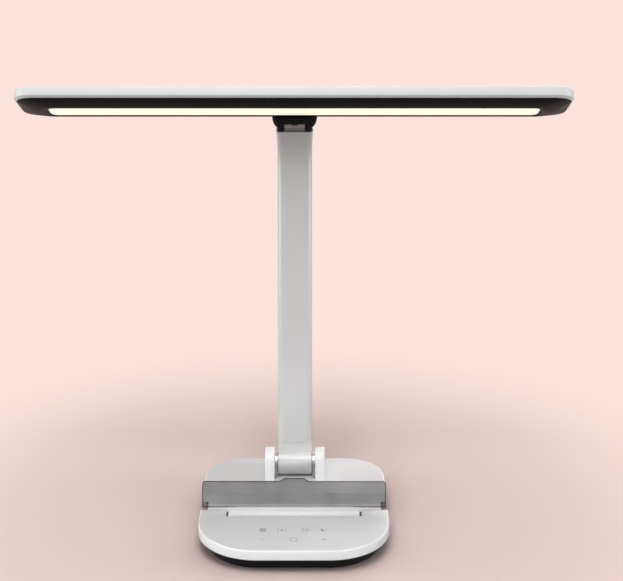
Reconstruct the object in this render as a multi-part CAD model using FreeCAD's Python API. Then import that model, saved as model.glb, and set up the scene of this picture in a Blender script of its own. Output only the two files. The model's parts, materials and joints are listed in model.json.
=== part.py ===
"""Desk lamp with a wide lit head, a leaning arm, and a base with a book trough and page holder.

Frame: +X to the right, +Y away from the user, +Z up, millimetres. The origin is on the
surface that the lamp stands on, at the centre of the base. The head is built flat about
its tilt pin, with -Y to its front, and is then tilted and moved to the top of the arm.
"""
import FreeCAD, Part
import math
import os

os.makedirs("parts", exist_ok=True)

# Clearances
FIT = 0.05
GAP = 0.3
SEAM = 0.4

# Base, measured from its front edge
BASE_WIDTH = 180.0
BASE_DEPTH = 200.0
BASE_FRONT_CORNER = 57.4
BASE_REAR_CORNER = 40.0
SOLE_THICKNESS = 1.5
SOLE_INSET = 2.0
SKIRT_HEIGHT = 11.8
SKIRT_LIP = 1.5
SKIRT_TAPER = 8.7
SKIRT_WALL = 2.4
TUB_FLOOR = 2.2
COVER_WALL_HEIGHT = 9.5
COVER_WALL = 2.4
COVER_EDGE_ROUND = 1.6

# Book trough across the base
TROUGH_FRONT = 82.0
TROUGH_WIDTH = 36.0
TROUGH_FLOOR_Z = 10.5
TROUGH_WALL = 2.2
TROUGH_END_INSET = 5.0

# Ballast and electronics in the base
BALLAST_THICKNESS = 4.2
BALLAST_MARGIN = 5.0
BOARD_THICKNESS = 1.6
CONTROL_BOARD_SIZE = (92.0, 44.0)
CONTROL_BOARD_FRONT = 12.0
KEY_PITCH = 28.5
KEY_INNER = 10.8
KEY_REAR_ROW = 40.4
KEY_FRONT_ROW = 21.9
PAD_RADIUS = 4.5
PAD_HEIGHT = 2.0
CONTROLLER_SIZE = (12.0, 10.0, 2.0)
CONTROLLER_FRONT = 14.0
SENSOR_SIZE = (6.0, 3.0, 1.5)
SENSOR_FRONT = 22.0
SENSOR_X = (24.0, 34.0)
DRIVER_BOARD_SIZE = (44.0, 38.0)
DRIVER_TO_BRACKET = 4.0
DRIVER_TO_REAR = 34.5
DRIVER_POST = 3.0
COIL_RADIUS = 7.0
COIL_BORE = 2.5
COIL_SPOT = (-8.0, 8.0)
CAPACITOR_RADIUS = 4.0
CAPACITOR_SPOTS = ((6.0, 10.0), (6.0, -2.0))
DRIVER_CHIP_SIZE = (12.0, 8.0, 2.5)
DRIVER_CHIP_SPOT = (-8.0, -10.0)
JACK_SIZE = (9.0, 13.0, 9.0)
JACK_X = 48.0
JACK_BORE = 3.2
JACK_PIN = 1.0
JACK_DEPTH = 10.0
JACK_PIN_SETBACK = 0.8
JACK_MARGIN = 1.0
SCREW_SHANK = 1.5
SCREW_HEAD = 2.8
SCREW_HEAD_HEIGHT = 1.8
SCREW_TIP_GAP = 0.5
SMALL_SHANK = 1.05
SMALL_HEAD = 2.2
SMALL_HEAD_HEIGHT = 1.2
BOSS_RADIUS = 3.6
FRONT_SCREW_TO_SIDE = 24.0
FRONT_SCREW_TO_TROUGH = 20.0
REAR_SCREW_X = 34.0
REAR_SCREW_TO_REAR = 10.0

# Page holder
HOLDER_AXIS = 75.5
HOLDER_AXIS_Z = 19.0
HOLDER_DRUM = 8.0
HOLDER_HALF = 62.35
HOLDER_END_GAP = 2.15
HOLDER_RISE = 28.2
HOLDER_LEAN = 18.0
HOLDER_PIN = 2.0
HOLDER_PIN_SOCKET = 6.0
HOLDER_PIN_BOSS_DROP = 1.6
HOLDER_RING_RADIUS = 4.4
HOLDER_CLAMP_WALL = 1.6
HOLDER_CREST_FRONT = 0.4
HOLDER_CREST_REAR = 0.9
HOLDER_SCREW_BITE = 3.6
HOLDER_SCREW_PITCH = 40.0
STRIP_HALF = 88.0
STRIP_THICKNESS = 2.0
STRIP_HEIGHT = 25.4
STRIP_CORNER = 2.0
STRIP_BOTTOM_Z = 26.0
STRIP_OFFSET = 2.12
STRIP_TANG = 9.0
STRIP_TANG_TO_PIN = 0.35
TAB_TOP_HALF = 9.6
TAB_FOOT_HALF = 14.0
TAB_HEIGHT = 2.8

# Arm and its hinge on the base
ARM_AXIS_TO_REAR = 35.0
ARM_AXIS_Z = 34.0
ARM_LEAN = 15.0
ARM_STRAIGHT = 298.7
ARM_WIDTH = 34.5
ARM_THICKNESS = 14.0
ARM_EDGE_ROUND = 6.2
ARM_WALL = 1.8
ARM_TOP_FLARE = 1.9
ARM_FLARE_LENGTH = 34.0
SHELL_START = 22.0
NECK_RADIUS = 60.0
NECK_TURN = 45.0
FOOT_BARREL = 12.5
FOOT_HALF = 16.8
FOOT_THICKNESS = 12.0
ARM_PIN = 4.0
WASHER = 0.8
WASHER_RADIUS = 10.0
EAR_THICKNESS = 2.5
EAR_RADIUS = 10.5
EAR_FOOT_HALF = 13.0
BRACKET_HALF_DEPTH = 24.0
BRACKET_SCREW_INSET = 5.0
BRACKET_SCREW_TO_EAR = 7.0
CHEEK_RADIUS = 15.5
CHEEK_THICKNESS = 9.5
CHEEK_FOOT_HALF = 23.0
CHEEK_CAP_RADIUS = 9.0
CHEEK_CAP_THICKNESS = 1.2
NUT_RADIUS = 6.2
NUT_HEIGHT = 4.0
PIN_HEAD_HEIGHT = 2.5
CORE_HALF = 12.0
CORE_THICKNESS = 5.0
ARM_BOSS = 4.0
ARM_BOSS_BITE = 0.3
ARM_SCREW_SPOTS = (60.0, 160.0, 260.0)
ARM_SCREW_SINK = 0.3
NECK_STATIONS = 6
LEAD_RADIUS = 1.2
LEAD_SIDE = 8.0
LEAD_FOOT_GAP = 2.0

# Head hinge
HEAD_TILT = 26.0
HEAD_TILT_BACK = 15.0
HINGE_BARREL = 8.5
HINGE_HALF = 22.2
HINGE_END_ROUND = 14.0
HINGE_DROP = 8.3
HINGE_BOWL_HALF = 8.3
EYE_RADIUS = 6.3
EYE_HALF = 9.9
TONGUE_THICKNESS = 10.0
TONGUE_LENGTH = 18.7
HINGE_NECK_HALF = 16.5
HINGE_NECK_FRONT = 6.9
HEAD_PIN = 2.5
HEAD_NUT_RADIUS = 4.3
HEAD_NUT_HEIGHT = 2.6
HEAD_NUT_SEAT = 13.2
HEAD_PIN_HEAD_HEIGHT = 2.0
HEAD_NUT_GAP = 0.2
NECK_SCREW_FLOOR = 0.4
HEAD_WASHER_RADIUS = 5.5

# Head, measured in its own plane from the tilt pin
HEAD_LENGTH = 537.6
HEAD_DEPTH = 68.0
HEAD_CORNER = 14.3
PIN_TO_REAR = 9.4
PIN_TO_FLAT = 4.0
PAN_DROP = 5.3
PAN_INSET = 17.4
PAN_FLAT_CORNER = 15.0
LIP_HEIGHT = 2.3
HEAD_WALL_HEIGHT = 8.9
HEAD_EDGE_ROUND = 1.6
HEAD_SHELL_WALL = 2.0
PAN_WALL = 1.6
PANEL_END_MARGIN = 31.0
PANEL_DEPTH = 26.6
PANEL_CORNER = 7.0
PANEL_RECESS = 0.7
DIFFUSER_THICKNESS = 1.4
DIFFUSER_LAP = 1.6
GUIDE_THICKNESS = 2.4
REFLECTOR_THICKNESS = 0.4
FRAME_THICKNESS = 1.5
FRAME_DEPTH = 46.0
FRAME_END_MARGIN = 16.0
STRIP_BOARD = 1.0
CHIP_COUNT = 30
CHIP_SIZE = (3.0, 0.7, 1.6)
HEAD_BOSS = 3.2
HEAD_SCREW_INNER = 70.0
HEAD_SCREW_TO_FRAME_END = 15.0
HEAD_SCREW_INSET = 3.35
FRAME_SCREW_SHANK = 1.2
FRAME_SCREW_HEAD_HEIGHT = 1.3
PLATE_SCREW_INSET = 3.6
PLATE_HALF = 34.0
PLATE_DEPTH = 22.0
PLATE_THICKNESS = 2.0

# Places worked out from the sizes above
FRONT = -BASE_DEPTH / 2
HALF_WIDTH = BASE_WIDTH / 2
TUB_FLOOR_Z = SOLE_THICKNESS + TUB_FLOOR
SKIRT_TOP = SOLE_THICKNESS + SKIRT_HEIGHT
COVER_TOP = SKIRT_TOP + COVER_WALL_HEIGHT
CEILING = COVER_TOP - COVER_WALL
TROUGH_REAR = TROUGH_FRONT + TROUGH_WIDTH
TROUGH_UNDERSIDE = TROUGH_FLOOR_Z - TROUGH_WALL
BALLAST_Z = TUB_FLOOR_Z
BALLAST_TOP = BALLAST_Z + BALLAST_THICKNESS
BOARD_TOP = CEILING - PAD_HEIGHT
BOARD_Z = BOARD_TOP - BOARD_THICKNESS
HOLDER_Y = FRONT + HOLDER_AXIS
POCKET_RADIUS = HOLDER_DRUM + GAP
POCKET_HALF = HOLDER_HALF + HOLDER_END_GAP
STRIP_TANG_HALF = HOLDER_HALF - HOLDER_PIN_SOCKET - STRIP_TANG_TO_PIN
ARM_Y = -FRONT - ARM_AXIS_TO_REAR
EAR_IN = FOOT_HALF + WASHER
EAR_OUT = EAR_IN + EAR_THICKNESS
CHEEK_IN = EAR_OUT + GAP
CHEEK_OUT = CHEEK_IN + CHEEK_THICKNESS
DRIVER_X = -EAR_OUT - DRIVER_TO_BRACKET - DRIVER_BOARD_SIZE[0] / 2
DRIVER_Y = -FRONT - DRIVER_TO_REAR
NECK_END_HEADING = ARM_LEAN - NECK_TURN
HINGE_STRAIGHT = HINGE_HALF - HINGE_END_ROUND
BOWL_Z = HINGE_END_ROUND - HINGE_DROP
EYE_SLOT_RADIUS = EYE_RADIUS + SEAM
EAR_FACE = EYE_HALF + WASHER
FLAT_Z = PIN_TO_FLAT
LIP_Z = FLAT_Z + PAN_DROP
HEAD_WALL_Z = LIP_Z + LIP_HEIGHT
HEAD_TOP_Z = HEAD_WALL_Z + HEAD_WALL_HEIGHT
HEAD_REAR = PIN_TO_REAR
HEAD_FRONT = PIN_TO_REAR - HEAD_DEPTH
HEAD_HALF = HEAD_LENGTH / 2
PANEL_Y = (HEAD_FRONT + HEAD_REAR) / 2
PANEL_LENGTH = HEAD_LENGTH - 2 * PANEL_END_MARGIN
FRAME_HALF = HEAD_HALF - FRAME_END_MARGIN
DIFFUSER_Z = FLAT_Z + PAN_WALL
GUIDE_Z = DIFFUSER_Z + DIFFUSER_THICKNESS
REFLECTOR_Z = GUIDE_Z + GUIDE_THICKNESS
FRAME_Z = REFLECTOR_Z + REFLECTOR_THICKNESS
FRAME_TOP = FRAME_Z + FRAME_THICKNESS
HEAD_NUT_POCKET = HEAD_NUT_RADIUS + HEAD_NUT_GAP
NECK_SCREW_TIP = HEAD_NUT_POCKET + NECK_SCREW_FLOOR
PLATE_TOP = FRAME_TOP + PLATE_THICKNESS
HEAD_CEILING = HEAD_TOP_Z - HEAD_SHELL_WALL
SHELL_REAR_INSIDE = HEAD_REAR - LIP_HEIGHT - HEAD_SHELL_WALL
NECK_REAR = SHELL_REAR_INSIDE - 2 * FIT
PLATE_REAR = SHELL_REAR_INSIDE - GAP
PLATE_Y = PLATE_REAR - PLATE_DEPTH / 2


def vec(x, y, z):
    return FreeCAD.Vector(x, y, z)


def sin(degrees):
    return math.sin(math.radians(degrees))


def cos(degrees):
    return math.cos(math.radians(degrees))


def box(x0, x1, y0, y1, z0, z1):
    return Part.makeBox(x1 - x0, y1 - y0, z1 - z0, vec(x0, y0, z0))


def rod(x, y, z0, z1, radius):
    """Upright cylinder."""
    return Part.makeCylinder(radius, z1 - z0, vec(x, y, z0), vec(0, 0, 1))


def axle(y, z, x0, x1, radius):
    """Cylinder along X."""
    return Part.makeCylinder(radius, x1 - x0, vec(x0, y, z), vec(1, 0, 0))


def hexagon(x, y, z, radius, length):
    """Six-sided prism along X from x."""
    points = [vec(x, y + radius * cos(60 * i), z + radius * sin(60 * i)) for i in range(6)]
    return Part.Face(Part.makePolygon(points + points[:1])).extrude(vec(length, 0, 0))


def fuse(shapes):
    joined = shapes[0]
    if len(shapes) > 1:
        joined = shapes[0].multiFuse(list(shapes[1:]))
    return joined.removeSplitter()


def both_sides(shape):
    """The shape and its copy mirrored across the middle plane."""
    return [shape, shape.mirror(vec(0, 0, 0), vec(1, 0, 0))]


def rounded_wire(half, y0, y1, front_r, rear_r, z):
    """Plan outline with rounded corners, symmetric about the middle plane."""
    edges = []
    corners = (
        (half - front_r, y0 + front_r, front_r, -90),
        (half - rear_r, y1 - rear_r, rear_r, 0),
        (-half + rear_r, y1 - rear_r, rear_r, 90),
        (-half + front_r, y0 + front_r, front_r, 180),
    )
    ends = []
    for cx, cy, r, start in corners:
        points = [vec(cx + r * cos(a), cy + r * sin(a), z) for a in (start, start + 45, start + 90)]
        ends.append((points[0], points[2]))
        edges.append(Part.Arc(*points).toShape())
    for i in range(4):
        edges.append(Part.makeLine(ends[i][1], ends[(i + 1) % 4][0]))
    return Part.Wire(Part.__sortEdges__(edges))


def rounded_prism(half, y0, y1, front_r, rear_r, z0, z1):
    face = Part.Face(rounded_wire(half, y0, y1, front_r, rear_r, z0))
    return face.extrude(vec(0, 0, z1 - z0))


def tapered(low, high):
    """Solid between two outlines, each given as half, y0, y1, front_r, rear_r, z."""
    return Part.makeLoft([rounded_wire(*low), rounded_wire(*high)], True, True)


def side_prism(points, x0, x1):
    """Polygon in the side view, given as y, z pairs, carried from x0 to x1."""
    corners = [vec(x0, y, z) for y, z in points]
    face = Part.Face(Part.makePolygon(corners + corners[:1]))
    return face.extrude(vec(x1 - x0, 0, 0))


def edges_at_height(shape, z, tolerance=0.01):
    return [
        e for e in shape.Edges
        if abs(e.BoundBox.ZMin - z) < tolerance and abs(e.BoundBox.ZMax - z) < tolerance
    ]


def save(node, shapes):
    group = shapes if isinstance(shapes, list) else [shapes]
    solids = [s for shape in group for s in shape.Solids]
    for solid in solids:
        if not solid.isValid():
            raise ValueError(node + " has a solid that is not valid")
    result = solids[0] if len(solids) == 1 else Part.Compound(solids)
    result.exportStep(os.path.join("parts", node + ".step"))


def base_outline(inset, z, front_r=None):
    """Base outline drawn in by an inset, as the arguments of rounded_wire."""
    front = BASE_FRONT_CORNER - inset if front_r is None else front_r
    return (HALF_WIDTH - inset, FRONT + inset, -FRONT - inset, front, BASE_REAR_CORNER - inset, z)


def base_prism(inset, z0, z1):
    return rounded_prism(*base_outline(inset, z0)[:5], z0, z1)


# Base: sole, tub and top cover

def base_screw_spots():
    """Two in front of the trough and two at the rear edge."""
    front_x = HALF_WIDTH - FRONT_SCREW_TO_SIDE
    front_y = FRONT + TROUGH_FRONT - FRONT_SCREW_TO_TROUGH
    rear_y = -FRONT - REAR_SCREW_TO_REAR
    return [(-front_x, front_y), (front_x, front_y), (-REAR_SCREW_X, rear_y), (REAR_SCREW_X, rear_y)]


def skirt_inset(z):
    """Inset of the tub's outside at a height."""
    share = (SKIRT_TOP - z) / SKIRT_HEIGHT
    return SKIRT_LIP + (SKIRT_TAPER - SKIRT_LIP) * share


def make_sole():
    inset = SKIRT_TAPER + SOLE_INSET
    save("rubber_sole", base_prism(inset, 0, SOLE_THICKNESS))


def make_tub():
    outside = tapered(base_outline(SKIRT_TAPER, SOLE_THICKNESS), base_outline(SKIRT_LIP, SKIRT_TOP))
    low = skirt_inset(TUB_FLOOR_Z) + SKIRT_WALL
    high = SKIRT_LIP + SKIRT_WALL
    inside = tapered(base_outline(low, TUB_FLOOR_Z), base_outline(high, SKIRT_TOP))
    tub = outside.cut(inside)
    y0 = FRONT + TROUGH_FRONT - TROUGH_WALL
    y1 = FRONT + TROUGH_REAR + TROUGH_WALL
    tub = tub.cut(box(-HALF_WIDTH, HALF_WIDTH, y0, y1, TROUGH_UNDERSIDE, SKIRT_TOP + 1))
    posts = []
    for x, y in base_screw_spots():
        posts.append(rod(x, y, TUB_FLOOR_Z, SKIRT_TOP, BOSS_RADIUS))
    for x, y in driver_post_spots():
        posts.append(rod(x, y, TUB_FLOOR_Z, BALLAST_TOP + DRIVER_POST, BOSS_RADIUS))
    tub = fuse([tub] + posts)
    for x, y in base_screw_spots():
        tub = tub.cut(rod(x, y, 0, SKIRT_TOP + 1, SCREW_SHANK + FIT))
        tub = tub.cut(rod(x, y, 0, SOLE_THICKNESS + SCREW_HEAD_HEIGHT + FIT, SCREW_HEAD + FIT))
    for x, y in driver_post_spots():
        tub = tub.cut(rod(x, y, BALLAST_TOP, SKIRT_TOP, SCREW_SHANK + FIT))
    x, y_end, z, width, height = jack_place()
    half = width / 2 + FIT
    tub = tub.cut(box(x - half, x + half, y_end - SKIRT_WALL * 2, -FRONT, z - FIT, z + height + FIT))
    save("base_tub", tub)


def jack_place():
    """Centre x, rear face y, lowest z, width and height of the power inlet."""
    width, _, height = JACK_SIZE
    return JACK_X, -FRONT - SKIRT_TAPER - GAP, TUB_FLOOR_Z + FIT, width, height


def driver_post_spots():
    dx = DRIVER_BOARD_SIZE[0] / 2 - BOSS_RADIUS
    dy = DRIVER_BOARD_SIZE[1] / 2 - BOSS_RADIUS
    return [(DRIVER_X + sx * dx, DRIVER_Y + sy * dy) for sx in (-1, 1) for sy in (-1, 1)]


def cheek_profile(radius, foot_half, foot_z):
    """Side outline of a hinge cheek: a round top on a foot that widens downwards."""
    reach = math.hypot(foot_half, ARM_AXIS_Z - foot_z)
    turn = math.degrees(math.acos(radius / reach))
    aim = math.degrees(math.atan2(ARM_AXIS_Z - foot_z, foot_half))
    angle = turn - aim
    y = radius * cos(angle)
    z = radius * sin(angle)
    front = vec(0, ARM_Y - y, ARM_AXIS_Z + z)
    rear = vec(0, ARM_Y + y, ARM_AXIS_Z + z)
    arc = Part.Arc(rear, vec(0, ARM_Y, ARM_AXIS_Z + radius), front).toShape()
    chain = [front, vec(0, ARM_Y - foot_half, foot_z), vec(0, ARM_Y + foot_half, foot_z), rear]
    lines = [Part.makeLine(chain[i], chain[i + 1]) for i in range(3)]
    return Part.Face(Part.Wire(Part.__sortEdges__([arc] + lines)))


def cheek(radius, foot_half, foot_z, x0, x1):
    face = cheek_profile(radius, foot_half, foot_z)
    face.translate(vec(x0, 0, 0))
    return face.extrude(vec(x1 - x0, 0, 0))


def make_cover():
    block = base_prism(0, SKIRT_TOP, COVER_TOP)
    block = block.makeFillet(COVER_EDGE_ROUND, edges_at_height(block, COVER_TOP))
    y0 = FRONT + TROUGH_FRONT
    y1 = FRONT + TROUGH_REAR
    half = HALF_WIDTH - TROUGH_END_INSET
    block = block.cut(box(-HALF_WIDTH, HALF_WIDTH, y0, y1, 0, COVER_TOP + 1))
    hollow = base_prism(COVER_WALL, SKIRT_TOP - 1, CEILING)
    hollow = hollow.cut(box(-HALF_WIDTH, HALF_WIDTH, y0 - TROUGH_WALL, y1 + TROUGH_WALL, 0, COVER_TOP))
    cover = block.cut(hollow)
    trough = box(-half, half, y0 - TROUGH_WALL, y1 + TROUGH_WALL, TROUGH_UNDERSIDE, SKIRT_TOP)
    trough = trough.cut(box(-HALF_WIDTH, HALF_WIDTH, y0, y1, TROUGH_FLOOR_Z, COVER_TOP))

    reach = POCKET_HALF + TROUGH_WALL
    pocket_z = COVER_TOP - COVER_WALL / 2
    pocket_wall = axle(HOLDER_Y, HOLDER_AXIS_Z, -reach, reach, POCKET_RADIUS + TROUGH_WALL)
    pocket_front = HOLDER_Y - POCKET_RADIUS - TROUGH_WALL
    pocket_skin = pocket_wall.common(box(-reach, reach, pocket_front, y0, TROUGH_UNDERSIDE, pocket_z))
    pocket_skin = pocket_skin.fuse(box(-reach, reach, HOLDER_Y, y0, TROUGH_UNDERSIDE, pocket_z))
    bosses = []
    for spot_x, spot_y in base_screw_spots():
        bosses.append(rod(spot_x, spot_y, SKIRT_TOP, CEILING, BOSS_RADIUS))
    for spot_x, spot_y in board_screw_spots():
        bosses.append(rod(spot_x, spot_y, BOARD_TOP, CEILING, BOSS_RADIUS))
    pin_boss = axle(HOLDER_Y, HOLDER_AXIS_Z - HOLDER_PIN_BOSS_DROP, POCKET_HALF, reach + 2 * HOLDER_PIN,
                    2 * HOLDER_PIN)
    pin_bosses = both_sides(pin_boss.common(box(0, HALF_WIDTH, FRONT, 0, SKIRT_TOP, CEILING)))
    relief_half = FOOT_BARREL + GAP + COVER_WALL
    thick_top = box(-EAR_OUT - COVER_WALL, EAR_OUT + COVER_WALL, ARM_Y - relief_half, ARM_Y + relief_half,
                    CEILING - COVER_WALL, CEILING)
    cheeks = both_sides(cheek(CHEEK_RADIUS, CHEEK_FOOT_HALF, CEILING, CHEEK_IN, CHEEK_OUT))
    cover = fuse([cover, trough, pocket_skin, thick_top] + bosses + pin_bosses + cheeks)

    cover = cover.cut(axle(HOLDER_Y, HOLDER_AXIS_Z, -POCKET_HALF, POCKET_HALF, POCKET_RADIUS))
    pocket_floor = HOLDER_AXIS_Z - POCKET_RADIUS
    cover = cover.cut(box(-POCKET_HALF, POCKET_HALF, HOLDER_Y, y0 + 1, pocket_floor, COVER_TOP + 1))
    for pin in holder_pin_solids(FIT):
        cover = cover.cut(pin)
    for spot_x, spot_y in base_screw_spots():
        cover = cover.cut(rod(spot_x, spot_y, SKIRT_TOP - 1, CEILING - 1, SCREW_SHANK + FIT))
    for spot_x, spot_y in board_screw_spots():
        cover = cover.cut(rod(spot_x, spot_y, BOARD_TOP - 1, CEILING, SMALL_SHANK))

    cover = cover.cut(axle(ARM_Y, ARM_AXIS_Z, -CHEEK_IN, CHEEK_IN, FOOT_BARREL + GAP))
    slot_half = EAR_FOOT_HALF + GAP
    ear_slot = box(EAR_IN - GAP, CHEEK_IN, ARM_Y - slot_half, ARM_Y + slot_half, 0, COVER_TOP + 1)
    for side in both_sides(ear_slot):
        cover = cover.cut(side)
    wall = COVER_WALL
    for side in both_sides(cheek(CHEEK_RADIUS - wall, CHEEK_FOOT_HALF - wall, CEILING - wall,
                                 CHEEK_IN + wall, CHEEK_OUT - wall)):
        cover = cover.cut(side)
    for side in both_sides(axle(ARM_Y, ARM_AXIS_Z, CHEEK_IN - 1, CHEEK_IN + wall + 1, NUT_RADIUS + GAP)):
        cover = cover.cut(side)
    for side in both_sides(axle(ARM_Y, ARM_AXIS_Z, CHEEK_OUT - CHEEK_CAP_THICKNESS, CHEEK_OUT + 1,
                                CHEEK_CAP_RADIUS + FIT)):
        cover = cover.cut(side)
    save("base_top_cover", cover)


def make_base_screws():
    screws = []
    for x, y in base_screw_spots():
        head = rod(x, y, SOLE_THICKNESS, SOLE_THICKNESS + SCREW_HEAD_HEIGHT, SCREW_HEAD)
        shank = rod(x, y, SOLE_THICKNESS, CEILING - 2, SCREW_SHANK)
        socket = rod(x, y, SOLE_THICKNESS, SOLE_THICKNESS + SCREW_HEAD_HEIGHT / 2, SCREW_HEAD / 3)
        screws.append(head.fuse(shank).removeSplitter().cut(socket))
    save("base_screws", screws)


# Base: ballast and electronics

def make_ballast():
    inset = skirt_inset(TUB_FLOOR_Z) + SKIRT_WALL + BALLAST_MARGIN
    plate = base_prism(inset, BALLAST_Z, BALLAST_TOP)
    for x, y in base_screw_spots():
        plate = plate.cut(rod(x, y, 0, SKIRT_TOP, BOSS_RADIUS + GAP))
    for x, y in driver_post_spots():
        plate = plate.cut(rod(x, y, 0, SKIRT_TOP, BOSS_RADIUS + GAP))
    x, y_end, _, width, _ = jack_place()
    half = width / 2 + JACK_MARGIN
    plate = plate.cut(box(x - half, x + half, y_end - JACK_SIZE[1] - JACK_MARGIN, -FRONT, 0, SKIRT_TOP))
    for x, y in bracket_screw_spots():
        plate = plate.cut(rod(x, y, 0, SKIRT_TOP, SCREW_SHANK + FIT))
    save("ballast_plate", plate)


def board_screw_spots():
    dx = CONTROL_BOARD_SIZE[0] / 2 - BOSS_RADIUS
    y0 = FRONT + CONTROL_BOARD_FRONT + BOSS_RADIUS
    y1 = FRONT + CONTROL_BOARD_FRONT + CONTROL_BOARD_SIZE[1] - BOSS_RADIUS
    return [(sx * dx, y) for sx in (-1, 1) for y in (y0, y1)]


def key_spots():
    rear = [(x, FRONT + KEY_REAR_ROW) for x in (-KEY_PITCH, -KEY_INNER, KEY_INNER, KEY_PITCH)]
    front = [(x, FRONT + KEY_FRONT_ROW) for x in (-KEY_PITCH, 0, KEY_PITCH)]
    return rear + front


def make_controls():
    half = CONTROL_BOARD_SIZE[0] / 2
    y0 = FRONT + CONTROL_BOARD_FRONT
    board = box(-half, half, y0, y0 + CONTROL_BOARD_SIZE[1], BOARD_Z, BOARD_TOP)
    screws = []
    for x, y in board_screw_spots():
        board = board.cut(rod(x, y, 0, COVER_TOP, SMALL_SHANK + FIT))
        head = rod(x, y, BOARD_Z - SCREW_HEAD_HEIGHT, BOARD_Z, SCREW_HEAD)
        shank = rod(x, y, BOARD_Z - SCREW_HEAD_HEIGHT, CEILING - SCREW_TIP_GAP, SMALL_SHANK - FIT)
        screws.append(head.fuse(shank))
    save("control_board", board)
    save("board_screws", screws)
    save("touch_pads", [rod(x, y, BOARD_TOP, CEILING, PAD_RADIUS) for x, y in key_spots()])
    wide, deep, high = CONTROLLER_SIZE
    back = y0 + CONTROLLER_FRONT + deep
    chips = [box(-wide / 2, wide / 2, y0 + CONTROLLER_FRONT, back, BOARD_Z - high, BOARD_Z)]
    wide, deep, high = SENSOR_SIZE
    front = y0 + SENSOR_FRONT
    for x in SENSOR_X:
        chips += both_sides(box(x - wide / 2, x + wide / 2, front, front + deep, BOARD_Z - high, BOARD_Z))
    save("control_chips", chips)


def make_driver():
    hx, hy = DRIVER_BOARD_SIZE[0] / 2, DRIVER_BOARD_SIZE[1] / 2
    z0 = BALLAST_TOP + DRIVER_POST
    board = box(DRIVER_X - hx, DRIVER_X + hx, DRIVER_Y - hy, DRIVER_Y + hy, z0, z0 + BOARD_THICKNESS)
    screws = []
    top = z0 + BOARD_THICKNESS
    for x, y in driver_post_spots():
        board = board.cut(rod(x, y, 0, COVER_TOP, SCREW_SHANK + FIT))
        shank = rod(x, y, BALLAST_TOP + SCREW_TIP_GAP, top, SCREW_SHANK)
        screws.append(shank.fuse(rod(x, y, top, top + SCREW_HEAD_HEIGHT, SCREW_HEAD)))
    save("driver_board", board)
    save("driver_screws", screws)
    crest = CEILING - GAP
    x, y = DRIVER_X + COIL_SPOT[0], DRIVER_Y + COIL_SPOT[1]
    parts = [rod(x, y, top, crest, COIL_RADIUS).cut(rod(x, y, top, crest, COIL_BORE))]
    for dx, dy in CAPACITOR_SPOTS:
        parts.append(rod(DRIVER_X + dx, DRIVER_Y + dy, top, crest, CAPACITOR_RADIUS))
    x, y = DRIVER_X + DRIVER_CHIP_SPOT[0], DRIVER_Y + DRIVER_CHIP_SPOT[1]
    wide, deep, high = DRIVER_CHIP_SIZE
    parts.append(box(x - wide / 2, x + wide / 2, y - deep / 2, y + deep / 2, top, top + high))
    save("driver_components", parts)


def make_jack():
    x, y_end, z, width, height = jack_place()
    half = width / 2
    middle = z + height / 2
    body = box(x - half, x + half, y_end - JACK_SIZE[1], y_end, z, z + height)
    bore = Part.makeCylinder(JACK_BORE, JACK_DEPTH, vec(x, y_end, middle), vec(0, -1, 0))
    pin = Part.makeCylinder(JACK_PIN, JACK_DEPTH, vec(x, y_end - JACK_PIN_SETBACK, middle), vec(0, -1, 0))
    save("power_inlet", body.cut(bore).fuse(pin).removeSplitter())


# Page holder

def lean_point(distance, offset):
    """Point in the side view on the strip's plane: distance up it, offset behind its middle."""
    y = HOLDER_Y + STRIP_OFFSET * cos(HOLDER_LEAN)
    z = HOLDER_AXIS_Z - STRIP_OFFSET * sin(HOLDER_LEAN)
    return (
        y + distance * sin(HOLDER_LEAN) + offset * cos(HOLDER_LEAN),
        z + distance * cos(HOLDER_LEAN) - offset * sin(HOLDER_LEAN),
    )


def strip_bottom():
    """Distance up the strip's plane at which the strip stands free of the bar."""
    return (STRIP_BOTTOM_Z - HOLDER_AXIS_Z + STRIP_OFFSET * sin(HOLDER_LEAN)) / cos(HOLDER_LEAN)


def strip_slab(x0, x1, d0, d1, grow):
    t = STRIP_THICKNESS / 2 + grow
    corners = [lean_point(d0, -t), lean_point(d1, -t), lean_point(d1, t), lean_point(d0, t)]
    return side_prism(corners, x0, x1)


def holder_pin_solids(grow):
    length = POCKET_HALF + TROUGH_WALL + HOLDER_PIN
    start = HOLDER_HALF - HOLDER_PIN_SOCKET
    return both_sides(axle(HOLDER_Y, HOLDER_AXIS_Z, start, length, HOLDER_PIN + grow))


def holder_screw_spots():
    return [-HOLDER_SCREW_PITCH, 0.0, HOLDER_SCREW_PITCH]


def holder_screw(x, radius, reach0, reach1):
    """Cylinder square to the strip's tang, between two offsets behind its middle."""
    d = strip_bottom() - STRIP_TANG / 2
    y, z = lean_point(d, reach0)
    along = vec(0, cos(HOLDER_LEAN), -sin(HOLDER_LEAN))
    return Part.makeCylinder(radius, reach1 - reach0, vec(x, y, z), along)


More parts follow.
